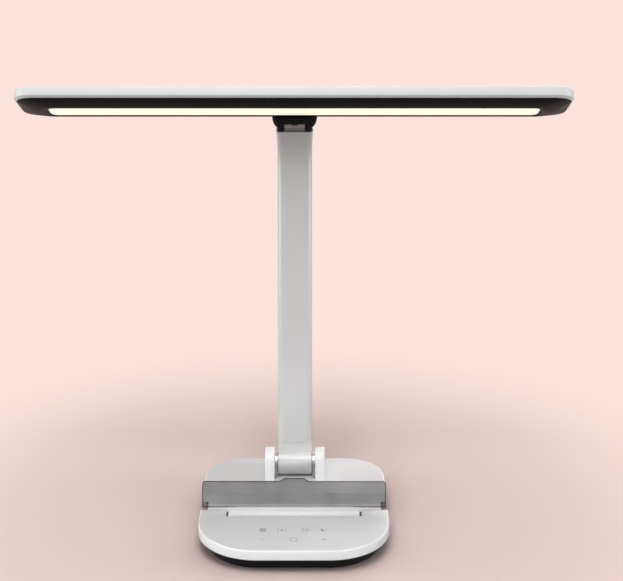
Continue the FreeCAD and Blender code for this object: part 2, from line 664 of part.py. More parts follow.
def make_page_holder():
    wall_z = COVER_TOP
    y_meet = HOLDER_Y - math.sqrt(HOLDER_DRUM ** 2 - (wall_z - HOLDER_AXIS_Z) ** 2)
    t = STRIP_THICKNESS / 2
    seat = t + HOLDER_CLAMP_WALL
    rear = lean_point(strip_bottom() - 2 * GAP, seat)
    root = lean_point(2 * GAP, seat)
    crest_front = (HOLDER_Y - HOLDER_CREST_FRONT, HOLDER_RISE)
    crest_rear = (HOLDER_Y + HOLDER_CREST_REAR, HOLDER_RISE)
    profile = [(y_meet, wall_z), crest_front, crest_rear, rear, root, (HOLDER_Y, HOLDER_AXIS_Z)]
    nose = side_prism(profile, -HOLDER_HALF, HOLDER_HALF)
    bar = axle(HOLDER_Y, HOLDER_AXIS_Z, -HOLDER_HALF, HOLDER_HALF, HOLDER_DRUM).fuse(nose).removeSplitter()
    d0 = strip_bottom() - STRIP_TANG
    bar = bar.cut(strip_slab(-STRIP_TANG_HALF - GAP, STRIP_TANG_HALF + GAP, d0, d0 + 2 * STRIP_TANG, FIT))
    bar = bar.cut(strip_slab(-STRIP_HALF, STRIP_HALF, strip_bottom() - FIT, d0 + 2 * STRIP_TANG, FIT))
    socket = HOLDER_HALF - HOLDER_PIN_SOCKET - GAP
    for pin in both_sides(axle(HOLDER_Y, HOLDER_AXIS_Z, socket, HOLDER_HALF + 1, HOLDER_PIN + FIT)):
        bar = bar.cut(pin)
    tip = -t - HOLDER_SCREW_BITE
    for x in holder_screw_spots():
        bar = bar.cut(holder_screw(x, SMALL_SHANK + FIT, tip - GAP, seat + HOLDER_DRUM))
        bar = bar.cut(holder_screw(x, SMALL_HEAD + FIT, seat, seat + HOLDER_DRUM))
    save("page_holder_bar", bar)

    d1 = strip_bottom() + STRIP_HEIGHT
    strip = strip_slab(-STRIP_HALF, STRIP_HALF, strip_bottom(), d1, 0)
    tang = strip_slab(-STRIP_TANG_HALF, STRIP_TANG_HALF, d0 + FIT, strip_bottom() + FIT, 0)
    tab = strip_slab(-TAB_FOOT_HALF, TAB_FOOT_HALF, d1 - FIT, d1 + TAB_HEIGHT, 0)
    strip = fuse([strip, tang, tab])
    y, z = lean_point(d1, 0)
    up = vec(0, sin(HOLDER_LEAN), cos(HOLDER_LEAN))
    through = vec(0, cos(HOLDER_LEAN), -sin(HOLDER_LEAN)) * STRIP_HEIGHT
    origin = vec(0, y, z) - through / 2
    spare = TAB_HEIGHT
    for side in (-1, 1):
        flank = [
            origin + vec(side * TAB_FOOT_HALF, 0, 0),
            origin + vec(side * TAB_TOP_HALF, 0, 0) + up * TAB_HEIGHT,
            origin + vec(side * TAB_TOP_HALF, 0, 0) + up * (TAB_HEIGHT + spare),
            origin + vec(side * (TAB_FOOT_HALF + spare), 0, 0) + up * (TAB_HEIGHT + spare),
            origin + vec(side * (TAB_FOOT_HALF + spare), 0, 0),
        ]
        corner = [
            origin + vec(side * (STRIP_HALF - STRIP_CORNER), 0, 0),
            origin + vec(side * STRIP_HALF, 0, 0) - up * STRIP_CORNER,
            origin + vec(side * (STRIP_HALF + spare), 0, 0) - up * STRIP_CORNER,
            origin + vec(side * (STRIP_HALF + spare), 0, 0) + up * spare,
            origin + vec(side * (STRIP_HALF - STRIP_CORNER), 0, 0) + up * spare,
        ]
        for outline in (flank, corner):
            face = Part.Face(Part.makePolygon(outline + outline[:1]))
            strip = strip.cut(face.extrude(through))
    for x in holder_screw_spots():
        strip = strip.cut(holder_screw(x, SMALL_SHANK + FIT, -STRIP_THICKNESS, STRIP_THICKNESS))
    save("page_holder_strip", strip)

    screws = []
    for x in holder_screw_spots():
        shank = holder_screw(x, SMALL_SHANK, tip, seat)
        head = holder_screw(x, SMALL_HEAD, seat, seat + SMALL_HEAD_HEIGHT)
        screws.append(shank.fuse(head).removeSplitter())
    save("page_holder_screws", screws)
    save("page_holder_pins", holder_pin_solids(0))
    ring = axle(HOLDER_Y, HOLDER_AXIS_Z, HOLDER_HALF, POCKET_HALF, HOLDER_RING_RADIUS)
    ring = ring.cut(axle(HOLDER_Y, HOLDER_AXIS_Z, HOLDER_HALF, POCKET_HALF, HOLDER_PIN + FIT))
    save("page_holder_friction_rings", both_sides(ring))


# Arm hinge on the base

def bracket_screw_spots():
    spread = BRACKET_HALF_DEPTH - BRACKET_SCREW_INSET
    x = EAR_IN - BRACKET_SCREW_TO_EAR
    return [(sx * x, ARM_Y + sy * spread) for sx in (-1, 1) for sy in (-1, 1)]


def make_arm_hinge():
    sheet = box(-EAR_OUT, EAR_OUT, ARM_Y - BRACKET_HALF_DEPTH, ARM_Y + BRACKET_HALF_DEPTH,
                BALLAST_TOP, BALLAST_TOP + EAR_THICKNESS)
    ears = both_sides(cheek(EAR_RADIUS, EAR_FOOT_HALF, BALLAST_TOP, EAR_IN, EAR_OUT))
    bracket = fuse([sheet] + ears)
    bracket = bracket.cut(axle(ARM_Y, ARM_AXIS_Z, -EAR_OUT - 1, EAR_OUT + 1, ARM_PIN + FIT))
    screws = []
    seat = BALLAST_TOP + EAR_THICKNESS
    for x, y in bracket_screw_spots():
        bracket = bracket.cut(rod(x, y, 0, COVER_TOP, SCREW_SHANK + FIT))
        shank = rod(x, y, BALLAST_Z + SCREW_TIP_GAP, seat, SCREW_SHANK)
        screws.append(shank.fuse(rod(x, y, seat, seat + SCREW_HEAD_HEIGHT, SCREW_HEAD)).removeSplitter())
    save("arm_bracket", bracket)
    save("bracket_screws", screws)

    washers = both_sides(axle(ARM_Y, ARM_AXIS_Z, FOOT_HALF, EAR_IN, WASHER_RADIUS))
    bore = axle(ARM_Y, ARM_AXIS_Z, -HALF_WIDTH, HALF_WIDTH, ARM_PIN + FIT)
    save("arm_friction_washers", [w.cut(bore) for w in washers])
    pin = axle(ARM_Y, ARM_AXIS_Z, -EAR_OUT - PIN_HEAD_HEIGHT, EAR_OUT + NUT_HEIGHT, ARM_PIN)
    head = axle(ARM_Y, ARM_AXIS_Z, -EAR_OUT - PIN_HEAD_HEIGHT, -EAR_OUT, NUT_RADIUS)
    save("arm_pin", pin.fuse(head).removeSplitter())
    save("arm_pin_nut", hexagon(EAR_OUT, ARM_Y, ARM_AXIS_Z, NUT_RADIUS, NUT_HEIGHT).cut(bore))
    cap = axle(ARM_Y, ARM_AXIS_Z, CHEEK_OUT - CHEEK_CAP_THICKNESS, CHEEK_OUT, CHEEK_CAP_RADIUS)
    save("arm_hinge_caps", both_sides(cap))


# Arm: centre line, shells, core and lead

def centre_line(distance, offset):
    """Point in the side view: distance along the arm from its axis, offset behind the line."""
    straight = min(distance, ARM_STRAIGHT)
    y = ARM_Y + straight * sin(ARM_LEAN)
    z = ARM_AXIS_Z + straight * cos(ARM_LEAN)
    heading = ARM_LEAN
    if distance > ARM_STRAIGHT:
        heading = ARM_LEAN - math.degrees((distance - ARM_STRAIGHT) / NECK_RADIUS)
        y += NECK_RADIUS * (cos(heading) - cos(ARM_LEAN))
        z += NECK_RADIUS * (sin(ARM_LEAN) - sin(heading))
    return y + offset * cos(heading), z - offset * sin(heading)


ARM_LENGTH = ARM_STRAIGHT + NECK_RADIUS * math.radians(NECK_TURN)
PIN_Y, PIN_Z = centre_line(ARM_LENGTH, 0)


def band_side(offset, d0, d1):
    """Edges of a line that runs beside the centre line."""
    edges = []
    if d0 < ARM_STRAIGHT:
        end = min(d1, ARM_STRAIGHT)
        edges.append(Part.makeLine(vec(0, *centre_line(d0, offset)), vec(0, *centre_line(end, offset))))
    if d1 > ARM_STRAIGHT:
        start = max(d0, ARM_STRAIGHT)
        points = [vec(0, *centre_line(d, offset)) for d in (start, (start + d1) / 2, d1)]
        edges.append(Part.Arc(*points).toShape())
    return edges


def band(half, near, far, d0, d1):
    """Solid that follows the arm between two offsets, with a half width."""
    edges = band_side(near, d0, d1) + band_side(far, d0, d1)
    for d in (d0, d1):
        edges.append(Part.makeLine(vec(0, *centre_line(d, near)), vec(0, *centre_line(d, far))))
    face = Part.Face(Part.Wire(Part.__sortEdges__(edges)))
    face.translate(vec(-half, 0, 0))
    return face.extrude(vec(2 * half, 0, 0))


def arm_half_width(z):
    """Half width at a height: straight sides that flare out in an arc towards the head."""
    rise = min(max(z - PIN_Z + ARM_FLARE_LENGTH, 0), ARM_FLARE_LENGTH)
    radius = (ARM_FLARE_LENGTH ** 2 + ARM_TOP_FLARE ** 2) / (2 * ARM_TOP_FLARE)
    return ARM_WIDTH / 2 + radius - math.sqrt(radius ** 2 - rise ** 2)


def arm_section(d, inset):
    """Rounded outline square to the centre line."""
    half = arm_half_width(centre_line(d, 0)[1]) - inset
    thick = ARM_THICKNESS / 2 - inset
    r = ARM_EDGE_ROUND - inset
    centres = ((half - r, thick - r), (r - half, thick - r), (r - half, r - thick), (half - r, r - thick))
    edges = []
    ends = []
    for i, (cx, cv) in enumerate(centres):
        turns = (90 * i, 90 * i + 45, 90 * i + 90)
        points = [vec(cx + r * cos(a), *centre_line(d, cv + r * sin(a))) for a in turns]
        ends.append((points[0], points[2]))
        edges.append(Part.Arc(*points).toShape())
    for i in range(4):
        edges.append(Part.makeLine(ends[i][1], ends[(i + 1) % 4][0]))
    return Part.Wire(Part.__sortEdges__(edges))


def blade(inset):
    """Arm body drawn in all round by an inset, longer than the shells at the foot."""
    straight = Part.makeLoft([arm_section(d, inset) for d in (ARM_THICKNESS / 2, ARM_STRAIGHT)], True, True)
    step = (ARM_LENGTH - ARM_STRAIGHT) / NECK_STATIONS
    stations = [arm_section(ARM_STRAIGHT + i * step, inset) for i in range(NECK_STATIONS + 1)]
    return straight.fuse(Part.makeLoft(stations, True, False)).removeSplitter()


def arm_screw(d, radius, near, far):
    y, z = centre_line(d, near)
    return Part.makeCylinder(radius, far - near, vec(0, y, z), vec(0, cos(ARM_LEAN), -sin(ARM_LEAN)))


def make_arm():
    outside = blade(0)
    reach = 3 * ARM_THICKNESS
    trim = band(HALF_WIDTH, -reach, reach, 1, SHELL_START)
    end_wall = outside.cut(trim).common(band(HALF_WIDTH, -reach, reach, SHELL_START, SHELL_START + ARM_WALL))
    crown = axle(PIN_Y, PIN_Z, -HALF_WIDTH, HALF_WIDTH, HINGE_BARREL + 2 * SEAM)
    skin = fuse([outside.cut(blade(ARM_WALL)).cut(trim).cut(crown), end_wall])
    past = ARM_LENGTH + HINGE_BARREL
    front_half = band(HALF_WIDTH, -reach, -FIT / 2, SHELL_START - 1, past)
    rear_half = band(HALF_WIDTH, FIT / 2, reach, SHELL_START - 1, past)
    face = CORE_THICKNESS / 2 + FIT
    core_gap = band(CORE_HALF + GAP, -face, face, SHELL_START - 1, ARM_LENGTH)
    inner = ARM_THICKNESS / 2 - ARM_WALL + ARM_BOSS_BITE
    front = [skin.common(front_half)]
    rear = [skin.common(rear_half)]
    for d in ARM_SCREW_SPOTS:
        front.append(arm_screw(d, ARM_BOSS, -inner, -face))
        rear.append(arm_screw(d, ARM_BOSS, face, inner))
    front = fuse(front).cut(core_gap)
    rear = fuse(rear).cut(core_gap)
    lead_path = lead_solid(LEAD_RADIUS + GAP)
    front = front.cut(lead_path)
    rear = rear.cut(lead_path)
    screws = []
    back = ARM_THICKNESS / 2
    for d in ARM_SCREW_SPOTS:
        front = front.cut(arm_screw(d, SCREW_SHANK + FIT, -back + ARM_WALL, 0))
        rear = rear.cut(arm_screw(d, SCREW_SHANK + FIT, 0, back + 1))
        rear = rear.cut(arm_screw(d, SCREW_HEAD + FIT, back - SCREW_HEAD_HEIGHT, back + 1))
        shank = arm_screw(d, SCREW_SHANK, -back + ARM_WALL + GAP, back - SCREW_HEAD_HEIGHT)
        head = arm_screw(d, SCREW_HEAD, back - SCREW_HEAD_HEIGHT, back - ARM_SCREW_SINK)
        screws.append(shank.fuse(head).removeSplitter())
    save("arm_front_shell", front)
    save("arm_rear_shell", rear)
    save("arm_screws", screws)


def make_core():
    barrel = axle(ARM_Y, ARM_AXIS_Z, -FOOT_HALF, FOOT_HALF, FOOT_BARREL)
    foot = band(FOOT_HALF, -FOOT_THICKNESS / 2, FOOT_THICKNESS / 2, 1, SHELL_START)
    strap = band(CORE_HALF, -CORE_THICKNESS / 2, CORE_THICKNESS / 2, SHELL_START - 1, ARM_LENGTH - EYE_RADIUS)
    half = TONGUE_THICKNESS / 2
    tongue = band(EYE_HALF, -half, half, ARM_LENGTH - TONGUE_LENGTH, ARM_LENGTH)
    eye = axle(PIN_Y, PIN_Z, -EYE_HALF, EYE_HALF, EYE_RADIUS)
    keep = axle(PIN_Y, PIN_Z, -HALF_WIDTH, HALF_WIDTH, HINGE_BARREL + 2 * SEAM)
    wings = strap.cut(keep)
    core = fuse([barrel, foot, wings, tongue, eye])
    core = core.cut(axle(ARM_Y, ARM_AXIS_Z, -HALF_WIDTH, HALF_WIDTH, ARM_PIN + FIT))
    core = core.cut(axle(PIN_Y, PIN_Z, -HALF_WIDTH, HALF_WIDTH, HEAD_PIN + FIT))
    for d in ARM_SCREW_SPOTS:
        core = core.cut(arm_screw(d, SCREW_SHANK + FIT, -CORE_THICKNESS, CORE_THICKNESS))
    core = core.cut(lead_solid(LEAD_RADIUS + GAP))
    save("arm_core", core)
    save("arm_lead", lead_solid(LEAD_RADIUS))


def lead_solid(radius):
    """Lead along the rear of the core, from inside the foot to the root of the tongue."""
    offset = CORE_THICKNESS / 2 + GAP + LEAD_RADIUS
    start = FOOT_BARREL + LEAD_FOOT_GAP
    end = ARM_LENGTH - TONGUE_LENGTH - GAP - LEAD_RADIUS
    path = Part.Wire(band_side(offset, start, end))
    y, z = centre_line(start, offset)
    ring = Part.Wire(Part.makeCircle(radius, vec(0, y, z), vec(0, sin(ARM_LEAN), cos(ARM_LEAN))))
    tube = path.makePipeShell([ring], True, False)
    tube.translate(vec(LEAD_SIDE, 0, 0))
    return tube


# Head, built flat about its tilt pin

def place_head(shape):
    placed = shape.copy()
    placed.rotate(vec(0, 0, 0), vec(1, 0, 0), -HEAD_TILT)
    placed.translate(vec(0, PIN_Y, PIN_Z))
    return placed


def save_head(node, shapes):
    group = shapes if isinstance(shapes, list) else [shapes]
    save(node, [place_head(s) for s in group])


def head_outline(inset, z, corner=None):
    r = max(HEAD_CORNER - inset, 1.0) if corner is None else corner
    return (HEAD_HALF - inset, HEAD_FRONT + inset, HEAD_REAR - inset, r, r, z)


def head_prism(inset, z0, z1):
    return rounded_prism(*head_outline(inset, z0)[:5], z0, z1)


def panel_prism(length, depth, corner, z0, z1):
    half = depth / 2
    return rounded_prism(length / 2, PANEL_Y - half, PANEL_Y + half, corner, corner, z0, z1)


def pan_outside(drop):
    low = head_outline(PAN_INSET, FLAT_Z - drop, PAN_FLAT_CORNER)
    high = head_outline(LIP_HEIGHT, LIP_Z - drop)
    return tapered(low, high)


def head_screw_spots():
    front = PANEL_Y - FRAME_DEPTH / 2 + HEAD_SCREW_INSET
    rear = PANEL_Y + FRAME_DEPTH / 2 - HEAD_SCREW_INSET
    outer_x = FRAME_HALF - HEAD_SCREW_TO_FRAME_END
    columns = (HEAD_SCREW_INNER, (HEAD_SCREW_INNER + outer_x) / 2, outer_x)
    return [(sx * x, y) for sx in (-1, 1) for x in columns for y in (front, rear)]


def make_head_shell():
    slab = head_prism(0, HEAD_WALL_Z, HEAD_TOP_Z)
    slab = slab.makeFillet(HEAD_EDGE_ROUND, edges_at_height(slab, HEAD_TOP_Z))
    lip = tapered(head_outline(LIP_HEIGHT, LIP_Z), head_outline(0, HEAD_WALL_Z))
    wall = LIP_HEIGHT + HEAD_SHELL_WALL
    shell = fuse([slab, lip]).cut(head_prism(wall, LIP_Z - 1, HEAD_CEILING))
    bosses = [rod(x, y, FRAME_TOP, HEAD_CEILING, HEAD_BOSS) for x, y in head_screw_spots()]
    shell = fuse([shell] + bosses)
    for x, y in head_screw_spots():
        shell = shell.cut(rod(x, y, FRAME_TOP - 1, HEAD_CEILING, FRAME_SCREW_SHANK + FIT))
    save_head("head_top_shell", shell)


def neck_block(grow):
    half = HINGE_NECK_HALF + grow
    return box(-half, half, -HINGE_NECK_FRONT - grow, NECK_REAR + grow, FLAT_Z - SEAM, FRAME_TOP)


def make_pan():
    outside = pan_outside(0)
    rim_inset = LIP_HEIGHT + HEAD_SHELL_WALL + FIT
    rim = head_prism(rim_inset, LIP_Z, LIP_Z + PAN_WALL)
    low = head_outline(PAN_INSET + PAN_WALL, DIFFUSER_Z, PAN_FLAT_CORNER - PAN_WALL)
    high = head_outline(rim_inset + PAN_WALL, LIP_Z + PAN_WALL)
    pan = fuse([outside, rim]).cut(tapered(low, high))
    pan = pan.cut(panel_prism(PANEL_LENGTH, PANEL_DEPTH, PANEL_CORNER, 0, DIFFUSER_Z + 1))
    save_head("head_bottom_pan", pan.cut(neck_block(FIT)))


def make_optics():
    lens = panel_prism(PANEL_LENGTH - 2 * FIT, PANEL_DEPTH - 2 * FIT, PANEL_CORNER - FIT,
                       FLAT_Z + PANEL_RECESS, DIFFUSER_Z)
    flange = panel_prism(PANEL_LENGTH + 2 * DIFFUSER_LAP, PANEL_DEPTH + 2 * DIFFUSER_LAP, PANEL_CORNER,
                         DIFFUSER_Z, GUIDE_Z)
    save_head("diffuser", fuse([lens, flange]))
    length = PANEL_LENGTH + DIFFUSER_LAP
    depth = PANEL_DEPTH + DIFFUSER_LAP
    half = length / 2
    y0 = PANEL_Y - depth / 2
    y1 = PANEL_Y + depth / 2
    save_head("light_guide", box(-half, half, y0, y1, GUIDE_Z, REFLECTOR_Z))
    save_head("reflector_sheet", box(-half, half, y0, y1, REFLECTOR_Z, FRAME_Z))
    chip_w, chip_d, chip_h = CHIP_SIZE
    boards = []
    chips = []
    for face, sign in ((y0, -1), (y1, 1)):
        near = face + sign * (FIT + chip_d)
        far = near + sign * STRIP_BOARD
        boards.append(box(-half, half, min(near, far), max(near, far), GUIDE_Z, FRAME_Z))
        tip = near - sign * chip_d
        for i in range(CHIP_COUNT):
            x = -half + (i + 0.5) * length / CHIP_COUNT
            z = GUIDE_Z + (GUIDE_THICKNESS - chip_h) / 2
            chips.append(box(x - chip_w / 2, x + chip_w / 2, min(near, tip), max(near, tip), z, z + chip_h))
    save_head("led_boards", boards)
    save_head("led_chips", chips)


def make_head_frame():
    y0 = PANEL_Y - FRAME_DEPTH / 2
    frame = box(-FRAME_HALF, FRAME_HALF, y0, y0 + FRAME_DEPTH, FRAME_Z, FRAME_TOP)
    leg_in = (PANEL_DEPTH + DIFFUSER_LAP) / 2 + FIT + CHIP_SIZE[1] + STRIP_BOARD
    length = (PANEL_LENGTH + DIFFUSER_LAP) / 2
    legs = []
    for sign in (-1, 1):
        near = PANEL_Y + sign * leg_in
        far = near + sign * FRAME_THICKNESS
        legs.append(box(-length, length, min(near, far), max(near, far), GUIDE_Z, FRAME_Z))
    frame = fuse([frame] + legs).cut(neck_block(FIT))
    screws = []
    for x, y in head_screw_spots():
        frame = frame.cut(rod(x, y, 0, HEAD_TOP_Z, FRAME_SCREW_SHANK + FIT))
        low = FRAME_Z - FRAME_SCREW_HEAD_HEIGHT
        head = rod(x, y, low, FRAME_Z, SMALL_HEAD)
        shank = rod(x, y, low, HEAD_CEILING - SCREW_TIP_GAP, FRAME_SCREW_SHANK)
        screws.append(head.fuse(shank).removeSplitter())
    for x, y in plate_screw_spots():
        frame = frame.cut(rod(x, y, 0, HEAD_TOP_Z, SCREW_SHANK + FIT))
    save_head("head_frame", frame)
    save_head("head_frame_screws", screws)


def plate_screw_spots():
    """Outer pair through the frame, inner pair into the hinge neck."""
    return [(sx * (PLATE_HALF - PLATE_SCREW_INSET), PLATE_Y) for sx in (-1, 1)]


def neck_screw_spots():
    return [(sx * (HINGE_NECK_HALF - PLATE_SCREW_INSET), 0) for sx in (-1, 1)]


def make_hinge_plate():
    plate = box(-PLATE_HALF, PLATE_HALF, PLATE_REAR - PLATE_DEPTH, PLATE_REAR, FRAME_TOP, PLATE_TOP)
    screw_top = PLATE_TOP + SCREW_HEAD_HEIGHT
    screws = []
    for x, y in neck_screw_spots():
        plate = plate.cut(rod(x, y, 0, HEAD_TOP_Z, SCREW_SHANK + FIT))
        shank = rod(x, y, NECK_SCREW_TIP, PLATE_TOP, SCREW_SHANK)
        screws.append(shank.fuse(rod(x, y, PLATE_TOP, screw_top, SCREW_HEAD)).removeSplitter())
    for x, y in plate_screw_spots():
        plate = plate.cut(rod(x, y, 0, HEAD_TOP_Z, SCREW_SHANK + FIT))
        shank = rod(x, y, FRAME_Z, PLATE_TOP, SCREW_SHANK)
        screws.append(shank.fuse(rod(x, y, PLATE_TOP, screw_top, SCREW_HEAD)).removeSplitter())
    save_head("head_mount_plate", plate)
    save_head("head_mount_screws", screws)


def half_ellipse(centre, long_way, short_way):
    """Half of an ellipse that bulges along long_way, closed by its chord."""
    curve = Part.Ellipse(centre + long_way, centre + short_way, centre)
    arc = Part.ArcOfEllipse(curve, -math.pi / 2, math.pi / 2).toShape()
    chord = Part.makeLine(centre - short_way, centre + short_way)
    return Part.Face(Part.Wire([arc, chord]))


def hinge_bowl():
    """Bowl with an elliptical underside and ends rounded alike, inside the circle that the arm clears."""
    centre = vec(-HINGE_STRAIGHT, 0, BOWL_Z)
    across = vec(0, HINGE_BOWL_HALF, 0)
    section = half_ellipse(centre, vec(0, 0, -HINGE_END_ROUND), across)
    plan = half_ellipse(centre, vec(-HINGE_END_ROUND, 0, 0), across)
    rise = LIP_Z - BOWL_Z
    half = HINGE_BOWL_HALF
    pieces = [section.extrude(vec(2 * HINGE_STRAIGHT, 0, 0))]
    pieces += both_sides(section.revolve(centre, vec(0, 1, 0), 90))
    pieces.append(box(-HINGE_STRAIGHT, HINGE_STRAIGHT, -half, half, BOWL_Z, LIP_Z))
    pieces += both_sides(plan.extrude(vec(0, 0, rise)))
    bowl = fuse(pieces)
    return bowl.common(axle(0, 0, -HINGE_HALF, HINGE_HALF, HINGE_BARREL))


def make_head_hinge():
    bowl = hinge_bowl()
    under = bowl.cut(pan_outside(FIT))
    housing = fuse([under, neck_block(0)])
    housing = housing.cut(axle(0, 0, -EAR_FACE, EAR_FACE, EYE_SLOT_RADIUS))
    reach = 3 * HINGE_BARREL
    half = TONGUE_THICKNESS / 2 + SEAM
    back = HEAD_TILT + HEAD_TILT_BACK - 90 - NECK_END_HEADING
    start = (-half * sin(back), half * cos(back))
    stop = (start[0] + reach * cos(back), start[1] + reach * sin(back))
    front = -EYE_SLOT_RADIUS + SEAM
    slot = [(front, -reach), (reach, -reach), stop, start, (0, half), (front, 0)]
    housing = housing.cut(side_prism(slot, -EAR_FACE, EAR_FACE))
    housing = housing.cut(axle(0, 0, -HINGE_HALF - 1, HINGE_HALF + 1, HEAD_PIN + FIT))
    for side in both_sides(axle(0, 0, HEAD_NUT_SEAT, HINGE_HALF + 1, HEAD_NUT_POCKET)):
        housing = housing.cut(side)
    for x, y in neck_screw_spots():
        housing = housing.cut(rod(x, y, NECK_SCREW_TIP, FRAME_TOP, SCREW_SHANK + FIT))
    save_head("head_hinge_housing", housing)

    washers = both_sides(axle(0, 0, EYE_HALF, EAR_FACE, HEAD_WASHER_RADIUS))
    bore = axle(0, 0, -HINGE_HALF, HINGE_HALF, HEAD_PIN + FIT)
    save_head("head_friction_washers", [w.cut(bore) for w in washers])
    pin_end = -HEAD_NUT_SEAT - HEAD_PIN_HEAD_HEIGHT
    pin = axle(0, 0, pin_end, HEAD_NUT_SEAT + HEAD_NUT_HEIGHT, HEAD_PIN)
    head = axle(0, 0, pin_end, -HEAD_NUT_SEAT, HEAD_NUT_RADIUS)
    save_head("head_pin", pin.fuse(head).removeSplitter())
    save_head("head_pin_nut", hexagon(HEAD_NUT_SEAT, 0, 0, HEAD_NUT_RADIUS, HEAD_NUT_HEIGHT).cut(bore))
    seat = HEAD_NUT_SEAT + HEAD_NUT_HEIGHT + FIT
    caps = [bowl.common(c) for c in both_sides(axle(0, 0, seat, HINGE_HALF + 1, HEAD_NUT_POCKET - FIT))]
    save_head("head_pin_caps", caps)


def make_head():
    make_head_shell()
    make_pan()
    make_optics()
    make_head_frame()
    make_hinge_plate()
    make_head_hinge()


def make_base():
    make_sole()
    make_tub()
    make_cover()
    make_base_screws()
    make_ballast()
    make_controls()
    make_driver()
    make_jack()


make_base()
make_page_holder()
make_arm_hinge()
make_arm()
make_core()
make_head()
print("arm length", round(ARM_LENGTH, 1), "head pin at", round(PIN_Y, 2), round(PIN_Z, 2))
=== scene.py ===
"""Desk lamp with a wide lit head, a leaning arm, and a base with a book trough and page holder.

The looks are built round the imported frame. Everything is in metres, in the frame's own axes:
+X to the right along the head, +Y away from the user and +Z up.
"""

import enum
import json
import logging
import math
from collections.abc import Callable, Iterable
from dataclasses import dataclass
from typing import ClassVar

import bmesh
import bpy
from mathutils import Euler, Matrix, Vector


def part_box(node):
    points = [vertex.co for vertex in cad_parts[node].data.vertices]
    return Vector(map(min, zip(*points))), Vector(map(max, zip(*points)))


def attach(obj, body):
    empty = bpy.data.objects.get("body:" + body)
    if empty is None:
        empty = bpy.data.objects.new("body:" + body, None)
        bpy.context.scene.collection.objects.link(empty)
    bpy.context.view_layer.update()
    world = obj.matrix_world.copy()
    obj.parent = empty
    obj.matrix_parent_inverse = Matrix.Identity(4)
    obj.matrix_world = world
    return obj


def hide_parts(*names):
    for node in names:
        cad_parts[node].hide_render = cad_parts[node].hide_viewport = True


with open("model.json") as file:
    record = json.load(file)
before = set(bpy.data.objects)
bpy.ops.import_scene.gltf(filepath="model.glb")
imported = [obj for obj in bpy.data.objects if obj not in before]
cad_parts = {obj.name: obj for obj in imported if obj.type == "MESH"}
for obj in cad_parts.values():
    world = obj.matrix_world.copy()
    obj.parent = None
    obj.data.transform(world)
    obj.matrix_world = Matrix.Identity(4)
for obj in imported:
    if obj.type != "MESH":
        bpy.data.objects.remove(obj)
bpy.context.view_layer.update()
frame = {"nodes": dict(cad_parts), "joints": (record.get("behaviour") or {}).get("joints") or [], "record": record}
LOG = logging.getLogger("lamp")

Colour = tuple[float, float, float]
Point = Iterable[float]
Test = Callable[[Vector, Vector], bool]
Operator = Callable[..., object]
MESH = bpy.ops.mesh

# A face looks along an axis when its normal has more than this share along it.
FACING = 0.9
# Play between a piece and the opening that it sits in.
PLAY = 0.00005
# How far a shape reaches into the one that it joins, and past the one that it cuts.
LAP = 0.0005
PAST = 0.001


class Axis(enum.Enum):
    """The three axes of the frame."""

    X = Vector((1.0, 0.0, 0.0))
    Y = Vector((0.0, 1.0, 0.0))
    Z = Vector((0.0, 0.0, 1.0))


class Joining(enum.Enum):
    """How a second shape changes the first."""

    CUT = "DIFFERENCE"
    ADD = "UNION"
    KEEP = "INTERSECT"


# Shader maths


class Wire:
    """An output socket of a material, on which sums can be written as plain expressions."""

    def __init__(self, nodes: "Nodes", socket: bpy.types.NodeSocket | None) -> None:
        """Keeps the socket and the material's nodes."""
        self.nodes = nodes
        self.socket = socket

    def _math(self, operation: str, other: "Wire | float") -> "Wire":
        """Adds one Math node and returns its output."""
        return self.nodes.add("Math", {0: self, 1: other}, {"operation": operation})

    def __add__(self, other: "Wire | float") -> "Wire":
        """Sum."""
        return self._math("ADD", other)

    __radd__ = __add__

    def __sub__(self, other: "Wire | float") -> "Wire":
        """Difference."""
        return self._math("SUBTRACT", other)

    def __rsub__(self, other: float) -> "Wire":
        """Difference from a plain number."""
        return self.nodes.add("Math", {0: other, 1: self}, {"operation": "SUBTRACT"})

    def __mul__(self, other: "Wire | float") -> "Wire":
        """Product."""
        return self._math("MULTIPLY", other)

    __rmul__ = __mul__

    def clamped(self, low: float, high: float) -> "Wire":
        """This value mapped from low..high to 0..1 and held inside that range."""
        return self.nodes.add("MapRange", {"Value": self, "From Min": low, "From Max": high})


